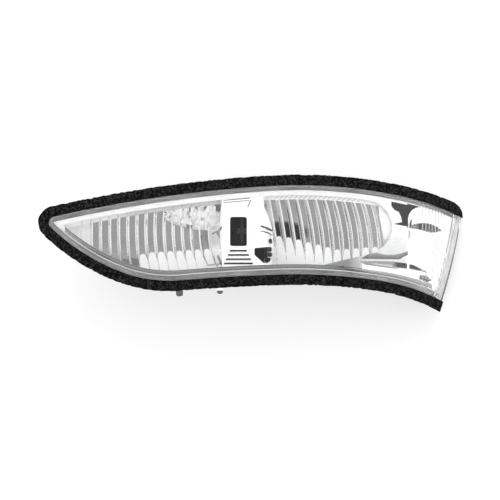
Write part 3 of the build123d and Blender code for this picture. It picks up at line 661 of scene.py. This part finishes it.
def ledge(name, reach, columns, rows, tones, groove=0.0):
    """A satin ledge just under the upper edge of its bowl, grooved where the flutes meet."""
    x = np.linspace(*reach, columns)
    high = height_of(upper_line, x) - ledge_gap
    groove = groove * ticks(x, left_tick_x, flute_pitch, tick_groove_half)
    band(name, x, high - ledge_width, high, rows, ledge_depth, tones, groove=groove, satin=True)


ledge("left_ledge", left_ledge_x, 500, 6, left_ledge_tones, tick_groove)
ledge("right_ledge", right_ledge_x, 360, 10, right_ledge_tones)

# Rolled lower edge
# Below the bowls the border rolls forward in one long bead, which has the same coating. It looks grey
# where it turns away from the light.
border_depth = 3.8
roll_x = np.linspace(-92.5, 91.0, 900)
roll_outer_grow = -2.75
roll_inner_grow = -4.85
roll_bulge = 0.25
roll_tone = 0.12
roll_top_share = 0.9
roll_top_tone = 0.6
roll_foot_tone = 0.35
roll_grey_x = (35.0, 55.0)
roll_grey = 0.5
roll_wave_x = (25.0, 45.0)
roll_wave = 0.25
roll_wave_turns = 9
roll_wave_drift = 0.03


def roll_tones(x, share):
    """Dark along the top, greyer at the foot and towards the outboard end, with waves in that part."""
    outboard = np.interp(x, roll_grey_x, (0, roll_grey))
    swell = np.interp(x, roll_wave_x, (0, roll_wave))
    waves = swell * np.sin(roll_wave_turns * share + roll_wave_drift * x) ** 2
    edge = roll_top_tone * (share > roll_top_share) + roll_foot_tone * (1 - share) ** 2
    return roll_tone + outboard + edge - waves


band(
    "lower_roll", roll_x, height_of(edges(roll_outer_grow)[1], roll_x),
    height_of(edges(roll_inner_grow)[1], roll_x), 16, border_depth, roll_tones, bulge=roll_bulge,
)

# Foot bands
# Rolled bands of the coating cross the foot of the right bowl and of the end reflector. They are grey
# or nearly black where they turn away, with one broad white face between them.
patch_columns = 120
patch_smoothing = 9
patch_bulge = 0.15
patch_least = 0.02
foot_grey = 0.62
foot_black = 0.97
foot_shade = 0.25
foot_turn_x = (71.0, 74.0)
foot_sheen_share = 0.3
foot_sheen = 0.3
foot_end_x = (84.0, 89.0)
foot_end_grey = 0.57
foot_end_share = 0.25
foot_patch_grey = 0.7
foot_patch_share = 0.4
foot_patch_shade = 0.2


def patch(name, upper_points, lower_points, tones, satin=False):
    """A band whose upper and lower lines pass through a few given points of X and Z, their corners
    eased by a running mean."""
    upper_points = np.array(upper_points)
    lower_points = np.array(lower_points)
    x = np.linspace(upper_points[0, 0], upper_points[-1, 0], patch_columns)
    kernel = np.ones(patch_smoothing) / patch_smoothing
    high, low = [
        np.convolve(np.pad(height_of(line, x), patch_smoothing // 2, mode="edge"), kernel, mode="valid")
        for line in (upper_points, lower_points)
    ]
    low = np.minimum(low, high - patch_least)
    band(name, x, low, high, 8, border_depth, tones, bulge=patch_bulge, satin=satin)


def foot_lower_tones(x, share):
    """Grey with a paler foot, then nearly black beyond the turn."""
    sheen = foot_sheen * (share < foot_sheen_share) * (x < foot_turn_x[0])
    return np.interp(x, foot_turn_x, (foot_grey, foot_black)) - sheen


def foot_end_tones(x, share):
    """Nearly black, then grey towards the outboard end, with a paler foot."""
    return np.interp(x, foot_end_x, (foot_black, foot_end_grey)) - foot_shade * (share < foot_end_share)


def plain_tones(x, share):
    """No darkening."""
    return 0.0


patch(
    "foot_band_upper",
    [(55.8, -13.15), (58.8, -11.1), (63, -10.3), (67.5, -11.3), (72.2, -11.3), (76.4, -10.4), (78.8, -9.5)],
    [(55.8, -13.3), (64.5, -13.5), (74.9, -13.6), (76.4, -12.4), (78.8, -11.4)],
    lambda x, share: foot_grey + foot_shade * (1 - share),
)
patch(
    "foot_band_lower",
    [(55, -14.75), (62.65, -14.4), (70.3, -14.6), (76.4, -15.35), (78.4, -15.7)],
    [(55, -14.95), (62.65, -16.3), (71.45, -17.6), (76.4, -17.85), (78.4, -18.2)],
    foot_lower_tones,
)
patch(
    "foot_band_end",
    [(79.6, -15.95), (81.8, -16.5), (85.6, -18.4), (89.05, -20.5)],
    [(79.6, -18.4), (85.6, -19.55), (89.05, -20.6)],
    foot_end_tones,
)
patch(
    "foot_patch_end",
    [(84.9, -21.3), (87.5, -21.7), (89.3, -22.6), (90.0, -23.6)],
    [(84.9, -23.1), (87.0, -24.0), (89.3, -25.0), (90.0, -24.3)],
    lambda x, share: foot_patch_grey + foot_patch_shade * (share < foot_patch_share),
)
patch(
    "foot_white",
    [(56, -15.9), (60, -16.5), (71.4, -18.15), (79.8, -19.0), (84.0, -20.8), (84.6, -21.6)],
    [(56, -18.9), (60, -19.4), (71.5, -21.0), (78, -22.4), (83, -23.7), (84.6, -22.8)],
    plain_tones,
    satin=True,
)

# Lap of the end reflector
# The end reflector's inboard edge laps over the border as a narrow white strip. It is part of the same
# moulding and has the same frosted coating.
lap_columns = 5
lap_reach = (78.1, 80.3)
lap_foot = (-23.9, -24.7)
lap_top = 2.0
lap_edge_x = 80.2
lap_edge_tone = 0.06
lap_x = np.linspace(*lap_reach, lap_columns)
band(
    "end_reflector_lap", lap_x, np.linspace(*lap_foot, lap_columns), np.full(lap_columns, lap_top), 60,
    border_depth, lambda x, share: lap_edge_tone * (x > lap_edge_x), satin=True,
)

# Hood of the end reflector's cup
# The coated face closes over the cup's mouth from above and from below and leaves a slanting slot,
# in which the ribbed bar shows. A dark and a grey crescent of painted shade stand where it turns in
# beside the slot.
cup_x = 89.0
cup_z = -0.5
hood_radius = 9.35
hood_to_x = 96.8
hood_least = 0.02
slot_x = 79.5
shade_tone = 0.55
tooth_tone = 0.35
tooth_pitch = 0.9
tooth_half = 0.2
over_depth = border_depth - 0.05


def slot_lines(x):
    """The lower and upper edge of the slot at each X."""
    low = np.interp(x, [slot_x, 83.3, 87.1, 90.2, 93.3, 95.4], [1.9, 1.5, 0.5, -0.4, 0.0, 0.6])
    high = np.interp(x, [slot_x, 81.8, 86.0, 89.4, 93.3, 95.4], [2.6, 4.0, 4.55, 4.2, 2.6, 0.6])
    return low, high


hood_x = np.linspace(cup_x - hood_radius, hood_to_x, 80)
hood_half = np.sqrt(np.maximum(hood_radius**2 - (hood_x - cup_x) ** 2, 0))
slot_low, slot_high = slot_lines(hood_x)
hood_top = np.maximum(cup_z + hood_half, slot_high + hood_least)
hood_foot = np.minimum(cup_z - hood_half, slot_low - hood_least)
band("hood_upper", hood_x, slot_high, hood_top, 12, border_depth, plain_tones, satin=True)
band("hood_lower", hood_x, hood_foot, slot_low, 16, border_depth, plain_tones, satin=True)
shade_x = np.linspace(slot_x, 83.6, 60)
band(
    "hood_shade", shade_x, *slot_lines(shade_x), 6, over_depth,
    lambda x, share: shade_tone + tooth_tone * ticks(x, slot_x, tooth_pitch, tooth_half),
)
crescent_x = np.linspace(slot_x, 80.9, 24)
crescent_lap = 0.1
crescent_shift = 0.5
band(
    "hood_crescent_upper", crescent_x, slot_lines(crescent_x)[1] - crescent_lap,
    np.interp(crescent_x, [slot_x, 80.1, 80.9], [3.4, 6.0, 6.6]), 8, over_depth,
    lambda x, share: np.interp(x, [80.3, 80.9], [0.95, 0.25]),
)
band(
    "hood_crescent_lower", crescent_x - crescent_shift,
    np.interp(crescent_x, [slot_x, 80.2, 80.9], [-3.9, -2.9, -1.2]),
    np.interp(crescent_x, [slot_x, 80.2, 80.9], [1.4, 0.8, -1.0]), 8, over_depth,
    lambda x, share: np.interp(x, [79.7, 80.4], [0.42, 0.12]),
)

# Seam of the centre shroud
# The shroud's top edge is folded over, which leaves two fine grooves and a slanting one at its corner.
# They look grey, because little light reaches into them.
seam_tone = 0.62
seam_width = 0.32
corner_tone = 0.45
corner_half = 0.5
corner_columns = 20
seam_x = np.linspace(-13.3, -0.1, 60)
seam_z = height_of(upper_line, seam_x)
for name, down in (("seam_upper", 0.25), ("seam_lower", 1.35)):
    band(name, seam_x, seam_z - down - seam_width, seam_z - down, 4, over_depth, lambda x, share: seam_tone)
corner_x = np.linspace(-1.2, 0.5, corner_columns)
corner_z = np.linspace(12.4, 15.9, corner_columns)
band(
    "seam_corner", corner_x, corner_z - corner_half, corner_z + corner_half, 4, over_depth,
    lambda x, share: corner_tone,
)

# Diffuser of the end reflector
# A white disc with a low dome is pressed into the end reflector's cup, behind its ribbed bar. It
# spreads the light of the source behind it.
disc_radius = 5.4
disc_y = -13.2
disc_dome = 0.5
disc_rings = 12
disc_sides = 48
weld_reach = 0.001
disc_share = np.linspace(0, 1, disc_rings)[:, None]
disc_turn = np.linspace(2 * math.pi, 0, disc_sides, endpoint=False)[None, :]


def weld(piece):
    """Joins the points of a piece that lie in one place, which closes its seams and poles."""
    work = bmesh.new()
    work.from_mesh(piece.data)
    bmesh.ops.remove_doubles(work, verts=work.verts, dist=weld_reach * millimetre)
    work.to_mesh(piece.data)
    work.free()


disc = grid_piece("end_diffuser", np.stack([
    cup_x + disc_radius * disc_share * np.cos(disc_turn),
    disc_y - disc_dome * (1 - disc_share**2) + 0 * disc_turn,
    cup_z + disc_radius * disc_share * np.sin(disc_turn),
], axis=-1), wrap=True)
weld(disc)
finish("diffuser_white", (0.93, 0.93, 0.93), (0.97, 0.97, 0.97), 0.4, 2500, 0.00001, disc)
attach(disc, "root")

# Ceiling of the left bowl
# Above the last flutes the bowl's ceiling is cut into small flat facets, which scatter the light. A few
# of them are painted dark, as painted reflections of the gap in the tent.
facet_columns = 27
facet_rows = 7
facet_from = -43.0
facet_to = -13.6
facet_low_line = ([-43, -40, -36, -28, -13], [6.8, 5.0, 3.2, 1.2, 0.4])
facet_gap = 0.2
facet_lift = 0.1
facet_jitter = 0.35
facet_depth_jitter = 0.6
facet_foot = trough_y - 1.6
facet_rise = 0.8
facet_satin = (0.5, 1.0)
painted_reflection_share = 0.10
painted_reflection_tones = (0.3, 0.85)
facet_reflection_marks = [
    (-25.0, 13.0, -23.0, 11.2, 0.4, 0.95), (-23.0, 11.2, -21.0, 12.7, 0.4, 0.95),
    (-16.5, 14.0, -14.2, 9.0, 1.4, 0.8), (-30.5, 12.0, -30.0, 10.0, 0.4, 0.8),
]
rng = np.random.default_rng(11)
facet_x = np.broadcast_to(np.linspace(facet_from, facet_to, facet_columns), (facet_rows, facet_columns))
facet_share = np.broadcast_to(np.linspace(0, 1, facet_rows)[:, None], facet_x.shape)
facet_low = np.interp(facet_x, *facet_low_line)
facet_high = height_of(upper_line, facet_x) - facet_gap
facet_z = facet_low + (facet_high - facet_low) * facet_share
inner = (facet_share > 0) & (facet_share < 1) & (facet_x > facet_from) & (facet_x < facet_to)
facet_x = facet_x + facet_jitter * rng.uniform(-1, 1, facet_x.shape) * inner
facet_z = facet_z + facet_jitter * rng.uniform(-1, 1, facet_x.shape) * inner
facet_front = lens_surface(facet_x, facet_z, ledge_depth) - facet_lift
facet_y = facet_foot + (facet_front - facet_foot) * facet_share**facet_rise
facet_y = facet_y + facet_depth_jitter * rng.uniform(-1, 1, facet_x.shape) * inner
facets = grid_piece("left_ceiling_facets", np.stack([facet_x, facet_y, facet_z], axis=-1))
cut = bmesh.new()
cut.from_mesh(facets.data)
bmesh.ops.triangulate(cut, faces=cut.faces)
cut.to_mesh(facets.data)
cut.free()
facet_count = len(facets.data.polygons)
facets.data.polygons.foreach_set("use_smooth", np.zeros(facet_count, dtype=bool))
facet_middle = np.zeros(3 * facet_count, dtype=np.float32)
facets.data.polygons.foreach_get("center", facet_middle)
facet_middle = facet_middle.reshape(-1, 3) / millimetre
marked = marks(facet_middle[:, 0], facet_middle[:, 2], facet_reflection_marks)
# Painted reflection: the marked facets and about a tenth of the others, at random, are painted dark.
painted_reflection = (rng.uniform(0, 1, facet_count) > 1 - painted_reflection_share) * rng.uniform(*painted_reflection_tones, facet_count)
paint(facets, "satin", rng.uniform(*facet_satin, facet_count), "FACE")
paint(facets, "dark", np.maximum(marked, painted_reflection), "FACE")
facets.data.materials.append(bright_coating)
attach(facets, "root")

# Leads and clip in the coating
# Two bent leads and a small clip of the right-hand light source show in the coating beside the shroud.
# They are painted reflection: dark pieces laid in front of the border where the coating shows them.
lead_flatness = 8
lead_sunk = 0.4
lead_rows = 40
lead_columns = 10


def lead(name, points, radius):
    """A round bar whose middle line bends smoothly through three points on the reflector's front, and
    whose ends are rounded off by a power of the distance from its middle."""
    share = np.linspace(0, 1, lead_rows)[:, None]
    start, middle, stop = (np.array(point) for point in points)
    line = (1 - share) ** 2 * start + 2 * share * (1 - share) * middle + share**2 * stop
    along = np.gradient(line, axis=0)
    along = along / np.hypot(along[:, 0], along[:, 1])[:, None]
    round_off = np.sqrt(np.clip(1 - (2 * share - 1) ** lead_flatness, 0, 1))
    turn = np.linspace(0, 2 * math.pi, lead_columns, endpoint=False)[None, :]
    x = line[:, :1] - along[:, 1:] * radius * round_off * np.cos(turn)
    z = line[:, 1:] + along[:, :1] * radius * round_off * np.cos(turn)
    y = lens_surface(x, z, border_depth) + radius * lead_sunk - radius * round_off * np.sin(turn)
    return grid_piece(name, np.stack([x, y, z], axis=-1), wrap=True)


leads = [
    lead("lead_reflection_upper", [(5.0, 3.0), (8.0, 2.3), (11.2, 0.5)], 0.46),
    lead("lead_reflection_lower", [(5.0, 0.3), (8.6, 0.3), (11.3, -1.9)], 0.26),
    lead("clip_reflection", [(9.9, -3.4), (10.3, -4.4), (10.3, -5.8)], 0.8),
]
finish("lead_reflection_dark", (0.01, 0.01, 0.01), (0.05, 0.05, 0.05), 0.35, 3000, 0.00002, *leads)
for piece in leads:
    weld(piece)
    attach(piece, "root")

# Sealing bead
# A bead of cured sealant joins the lens to the housing all round. It was laid soft and has set with
# a dull skin.
finish("sealant", (0.50, 0.50, 0.49), (0.68, 0.68, 0.67), 0.6, 2000, 0.00004, nodes["sealing_bead"])

# Pale ring under the skirt
# A pale ring lies under the foot of the skirt, shaped as sealant pressed out where the lens was pressed
# on. Its paleness is painted light: seen through the clear skirt, it stands for the light that the skirt
# catches inside it.
tip_fillet = 3.0
end_arc_radius = 333.0
end_arc_tilt = math.radians(13.3)
end_low_x = 102.2
end_low_z = -14.5
end_centre_x = end_low_x - end_arc_radius * math.cos(end_arc_tilt)
end_centre_z = end_low_z + end_arc_radius * math.sin(end_arc_tilt)
end_flange = 3.0
skirt_end = end_arc_radius - end_flange
tip_points = 60
end_points = 120
ring_points = 1200
ring_sides = 12
skirt_light_width = (-2.45, -0.06)
skirt_light_depth = (6.56, 7.04)


def lengths_to(line):
    """The length along a line to each of its points."""
    return np.concatenate([[0], np.cumsum(np.hypot(*np.diff(line, axis=0).T))])


def strip_path():
    """The skirt's outline as one open line: along the upper edge to the tip, round the tip's fillet
    and along the lower edge. Returns even points, their outward normals and the lengths to them."""
    upper, upper_out = edge_curve(upper_heading, upper_arcs, 0)
    lower, lower_out = edge_curve(lower_heading, lower_arcs, 0)
    half_tip = math.radians((upper_heading - lower_heading) / 2)
    trim = tip_fillet / math.tan(half_tip)
    middle = math.radians((upper_heading + lower_heading) / 2)
    inward = np.array([math.cos(middle), math.sin(middle)])
    centre = np.array([tip_x, tip_z]) + tip_fillet / math.sin(half_tip) * inward
    keep_upper = np.hypot(*(upper - upper[0]).T) > trim
    keep_lower = np.hypot(*(lower - lower[0]).T) > trim
    angles = np.radians(np.linspace(upper_heading + 90, lower_heading + 270, tip_points))
    spokes = np.stack([np.cos(angles), np.sin(angles)], axis=1)
    line = np.concatenate([upper[keep_upper][::-1], centre + tip_fillet * spokes, lower[keep_lower]])
    out = np.concatenate([upper_out[keep_upper][::-1], spokes, lower_out[keep_lower]])
    return line, out, lengths_to(line)


def closed_skirt():
    """The skirt's whole outline: its two long edges round the tip, then the arc of its outboard end.
    Returns the points, their outward normals and the lengths to them."""
    line, out, _ = strip_path()
    keep = np.hypot(line[:, 0] - end_centre_x, line[:, 1] - end_centre_z) < skirt_end
    line, out = line[keep], out[keep]
    first = math.atan2(line[-1, 1] - end_centre_z, line[-1, 0] - end_centre_x)
    last = math.atan2(line[0, 1] - end_centre_z, line[0, 0] - end_centre_x)
    angles = np.linspace(first, last, end_points)
    spokes = np.stack([np.cos(angles), np.sin(angles)], axis=1)
    arc = np.array([end_centre_x, end_centre_z]) + skirt_end * spokes
    line = np.concatenate([line, arc, line[:1]])
    out = np.concatenate([out, spokes, out[:1]])
    return line, out, lengths_to(line)


def skirt_ring(name, width, depth):
    """A closed tube along the skirt's whole outline. Its section is an ellipse between two distances
    out from the outline and two depths under the lens."""
    line, out, length = closed_skirt()
    at = np.linspace(0.0, length[-1], ring_points)
    turn = np.linspace(0, 2 * math.pi, ring_sides, endpoint=False)[None, :]
    across = (width[0] + width[1]) / 2 + (width[1] - width[0]) / 2 * np.cos(turn)
    under = (depth[0] + depth[1]) / 2 + (depth[1] - depth[0]) / 2 * np.sin(turn)
    x = np.interp(at, length, line[:, 0])[:, None] + np.interp(at, length, out[:, 0])[:, None] * across
    z = np.interp(at, length, line[:, 1])[:, None] + np.interp(at, length, out[:, 1])[:, None] * across
    ring = grid_piece(name, np.stack([x, lens_surface(x, z, under), z], axis=-1), wrap=True)
    weld(ring)
    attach(ring, "root")
    return ring


skirt_light_ring = skirt_ring("sealant_painted_light_ring", skirt_light_width, skirt_light_depth)
finish("sealant_painted_light", (0.36, 0.36, 0.355), (0.62, 0.62, 0.61), 0.5, 700, 0.00004, skirt_light_ring)

# Lip of the reflector
# The reflector's outer edge ends in a thin rounded lip just inside the skirt. It is moulded with the
# reflector, and its frosted coating looks white.
lip_width = (-2.86, -2.38)
lip_depth = (3.61, 4.09)
lip = skirt_ring("reflector_lip", lip_width, lip_depth)
finish("lip_white", (0.93, 0.93, 0.93), (0.97, 0.97, 0.97), 0.3, 2500, 0.00001, lip)

# Lens
# The lens is clear moulded plastic, polished outside, with a rounded shoulder, a skirt and a flange.
# The upright walls of the skirt have a fine draw texture, so they look frosted beside the clear face.
# The tips of its two small lugs, below the foam, are painted dark as shade.
frost_full = 0.10
frost_none = 0.30
frost = 0.35
lug_top_z = -0.0290
lug_full_z = -0.0294
lug_to_x = -0.010
lug_shade_tone = (0.12, 0.12, 0.12)
_, tree, shader = finish(
    "clear_lens", (0.985, 0.99, 0.99), (0.995, 0.998, 1.0), 0.004, 160, 0.000004, nodes["lens"]
)
shader.inputs["IOR"].default_value = 1.49
shader.inputs["Specular IOR Level"].default_value = 0.38
upright = calculation(tree, "ABSOLUTE", facing(tree)["Y"])
clear = change(tree, upright, frost_full, frost_none, 1.0 - frost, 1.0)
tree.links.new(clear, shader.inputs["Transmission Weight"])
lens_place = placing(tree)
# Painted shade: below the foam and left of the lugs' limit, the lens is painted dark.
below_foam = change(tree, lens_place["Z"], lug_top_z, lug_full_z)
among_lugs = calculation(tree, "LESS_THAN", lens_place["X"], lug_to_x)
darken(tree, shader, product(tree, below_foam, among_lugs), lug_shade_tone)

# Adhesive film
# A thin pale film holds the foam to the lens flange. It is die-cut with the foam and shows only as a
# line at its edge.
finish("film", (0.55, 0.55, 0.53), (0.72, 0.72, 0.70), 0.45, 2200, 0.00002, nodes["gasket_film"])

# Foam gasket
# A die-cut strip of charcoal open-cell foam runs round the lens, stuck to its flange. Its cut edges
# are a little ragged, and it stops at the outboard end, where the lens flange is bare.
foam_past_end = 0.6
foam_end = end_arc_radius + foam_past_end
foam_inner = 0.2
foam_outer = 5.6
foam_front = 0.3
foam_back = 4.2
foam_corner = 5.2
foam_squareness = 0.16
ragged = 0.14
ragged_step = 3
crumb = 0.09
crumb_outwards = 0.6
foam_rows = 1100
foam_columns = 44
foam_cells = 1500
cell_edges = (0.45, 0.95)


def foam_strip(rows, columns):
    """The foam's skin: a rounded rectangle carried along the skirt's outline, as far as the end line,
    its corners eased, its skin roughened by seeded cell noise, and each end drawn in to its middle."""
    line, out, length = strip_path()
    around = np.linspace(0, 2 * math.pi, columns, endpoint=False)
    across = np.sign(np.cos(around)) * np.abs(np.cos(around)) ** foam_squareness
    down = np.sign(np.sin(around)) * np.abs(np.sin(around)) ** foam_squareness
    width = (foam_inner + foam_outer) / 2 + across * (foam_outer - foam_inner) / 2
    depth = (foam_front + foam_back) / 2 + down * (foam_back - foam_front) / 2
    spots = line[:, None, :] + out[:, None, :] * width[None, :, None]
    past = np.hypot(spots[..., 0] - end_centre_x, spots[..., 1] - end_centre_z) - foam_end
    half = len(line) // 2
    first = np.array([np.interp(0, -past[:half, k], length[:half]) for k in range(columns)])
    last = np.array([np.interp(0, past[half:, k], length[half:]) for k in range(columns)])
    eased = np.clip((width - (foam_outer - foam_corner)) / foam_corner, 0, 1)
    first = first + foam_corner * (1 - np.sqrt(1 - eased**2))
    share = np.linspace(0, 1, rows)[:, None]
    along = first[None, :] + (last - first)[None, :] * share
    x = np.interp(along, length, line[:, 0])
    z = np.interp(along, length, line[:, 1])
    out_x = np.interp(along, length, out[:, 0])
    out_z = np.interp(along, length, out[:, 1])
    rng = np.random.default_rng(7)
    cells = rng.normal(0, 1, (rows, columns))
    cells = (cells + np.roll(cells, 1, axis=0) + np.roll(cells, 1, axis=1)) / 2
    steps = np.arange(0, rows, ragged_step)
    slow = np.interp(np.arange(rows), steps, rng.normal(0, 1, len(steps)))
    outer_side = np.clip(across, 0, 1)[None, :]
    reach = width[None, :] + crumb_outwards * crumb * cells + ragged * (slow[:, None] - 1) * outer_side
    reach = np.clip(reach, foam_inner, foam_outer)
    level = np.clip(depth[None, :] + crumb * np.roll(cells, ragged_step, axis=0), foam_front, foam_back)
    x = x + out_x * reach
    z = z + out_z * reach
    points = np.stack([x, lens_surface(x, z, level), z], axis=-1)
    start = np.broadcast_to(points[0].mean(axis=0), (1, columns, 3))
    stop = np.broadcast_to(points[-1].mean(axis=0), (1, columns, 3))
    return np.concatenate([start, points, stop])


foam = grid_piece("foam_strip", foam_strip(foam_rows, foam_columns), wrap=True)
weld(foam)
_, tree, shader = finish("foam", (0.0012, 0.0012, 0.0014), (0.04, 0.04, 0.041), 0.95, 1700, 0.0005, foam)
shader.inputs["Specular IOR Level"].default_value = 0.15
cells = tree.nodes.new("ShaderNodeTexVoronoi")
cells.inputs["Scale"].default_value = foam_cells
tree.links.new(tree.nodes.new("ShaderNodeTexCoord").outputs["Object"], cells.inputs["Vector"])
tone = next(node for node in tree.nodes if node.bl_idname == "ShaderNodeValToRGB")
tree.links.new(cells.outputs["Color"], tone.inputs["Fac"])
for element, edge in zip(tone.color_ramp.elements, cell_edges):
    element.position = edge
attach(foam, "root")
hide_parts("foam_gasket")

# Table
# The lamp lies on its back on a plain white sheet. Only the camera sees the sheet, from above it, so
# it takes the lamp's soft shadow and leaves the light on the lamp as it is.
table_y = 0.0045
table_half = 3.0
table_glow = 0.50
table_pale = 0.55
table_mesh = bpy.data.meshes.new("table")
table_mesh.from_pydata(
    [(-table_half, table_y, -table_half), (table_half, table_y, -table_half),
     (table_half, table_y, table_half), (-table_half, table_y, table_half)],
    [], [(0, 1, 2, 3)],
)
table = bpy.data.objects.new("table", table_mesh)
bpy.context.scene.collection.objects.link(table)
table_white = bpy.data.materials.new("table_white")
table_white.use_nodes = True
tree = table_white.node_tree
tree.nodes.clear()
sheet_output = tree.nodes.new("ShaderNodeOutputMaterial")
paper = tree.nodes.new("ShaderNodeBsdfDiffuse")
paper.inputs["Color"].default_value = (table_pale, table_pale, table_pale, 1)
glow = tree.nodes.new("ShaderNodeEmission")
glow.inputs["Strength"].default_value = table_glow
both = tree.nodes.new("ShaderNodeAddShader")
tree.links.new(paper.outputs[0], both.inputs[0])
tree.links.new(glow.outputs[0], both.inputs[1])
unseen = tree.nodes.new("ShaderNodeBsdfTransparent")
sheet_ray = tree.nodes.new("ShaderNodeLightPath").outputs
surface = tree.nodes.new("ShaderNodeNewGeometry").outputs
from_above = calculation(tree, "GREATER_THAN", sheet_ray["Is Camera Ray"], surface["Backfacing"])
sheet = mixed(tree, from_above, unseen.outputs[0], both.outputs[0])
tree.links.new(sheet, sheet_output.inputs["Surface"])
table_mesh.materials.append(table_white)

# Overhead lamp
# A broad soft light above the part's upper edge throws the faint shadow under its lower edge. It isn't
# seen in the coating or through the lens.
overhead_size = 0.8
overhead_energy = 6.0
overhead_place = (0.0, -0.7, 0.9)
overhead_tilt = math.radians(38)
overhead_data = bpy.data.lights.new("overhead", "AREA")
overhead_data.size = overhead_size
overhead_data.energy = overhead_energy
overhead = bpy.data.objects.new("overhead", overhead_data)
bpy.context.scene.collection.objects.link(overhead)
overhead.location = overhead_place
overhead.rotation_euler = (overhead_tilt, 0, 0)
overhead.visible_glossy = False
overhead.visible_transmission = False
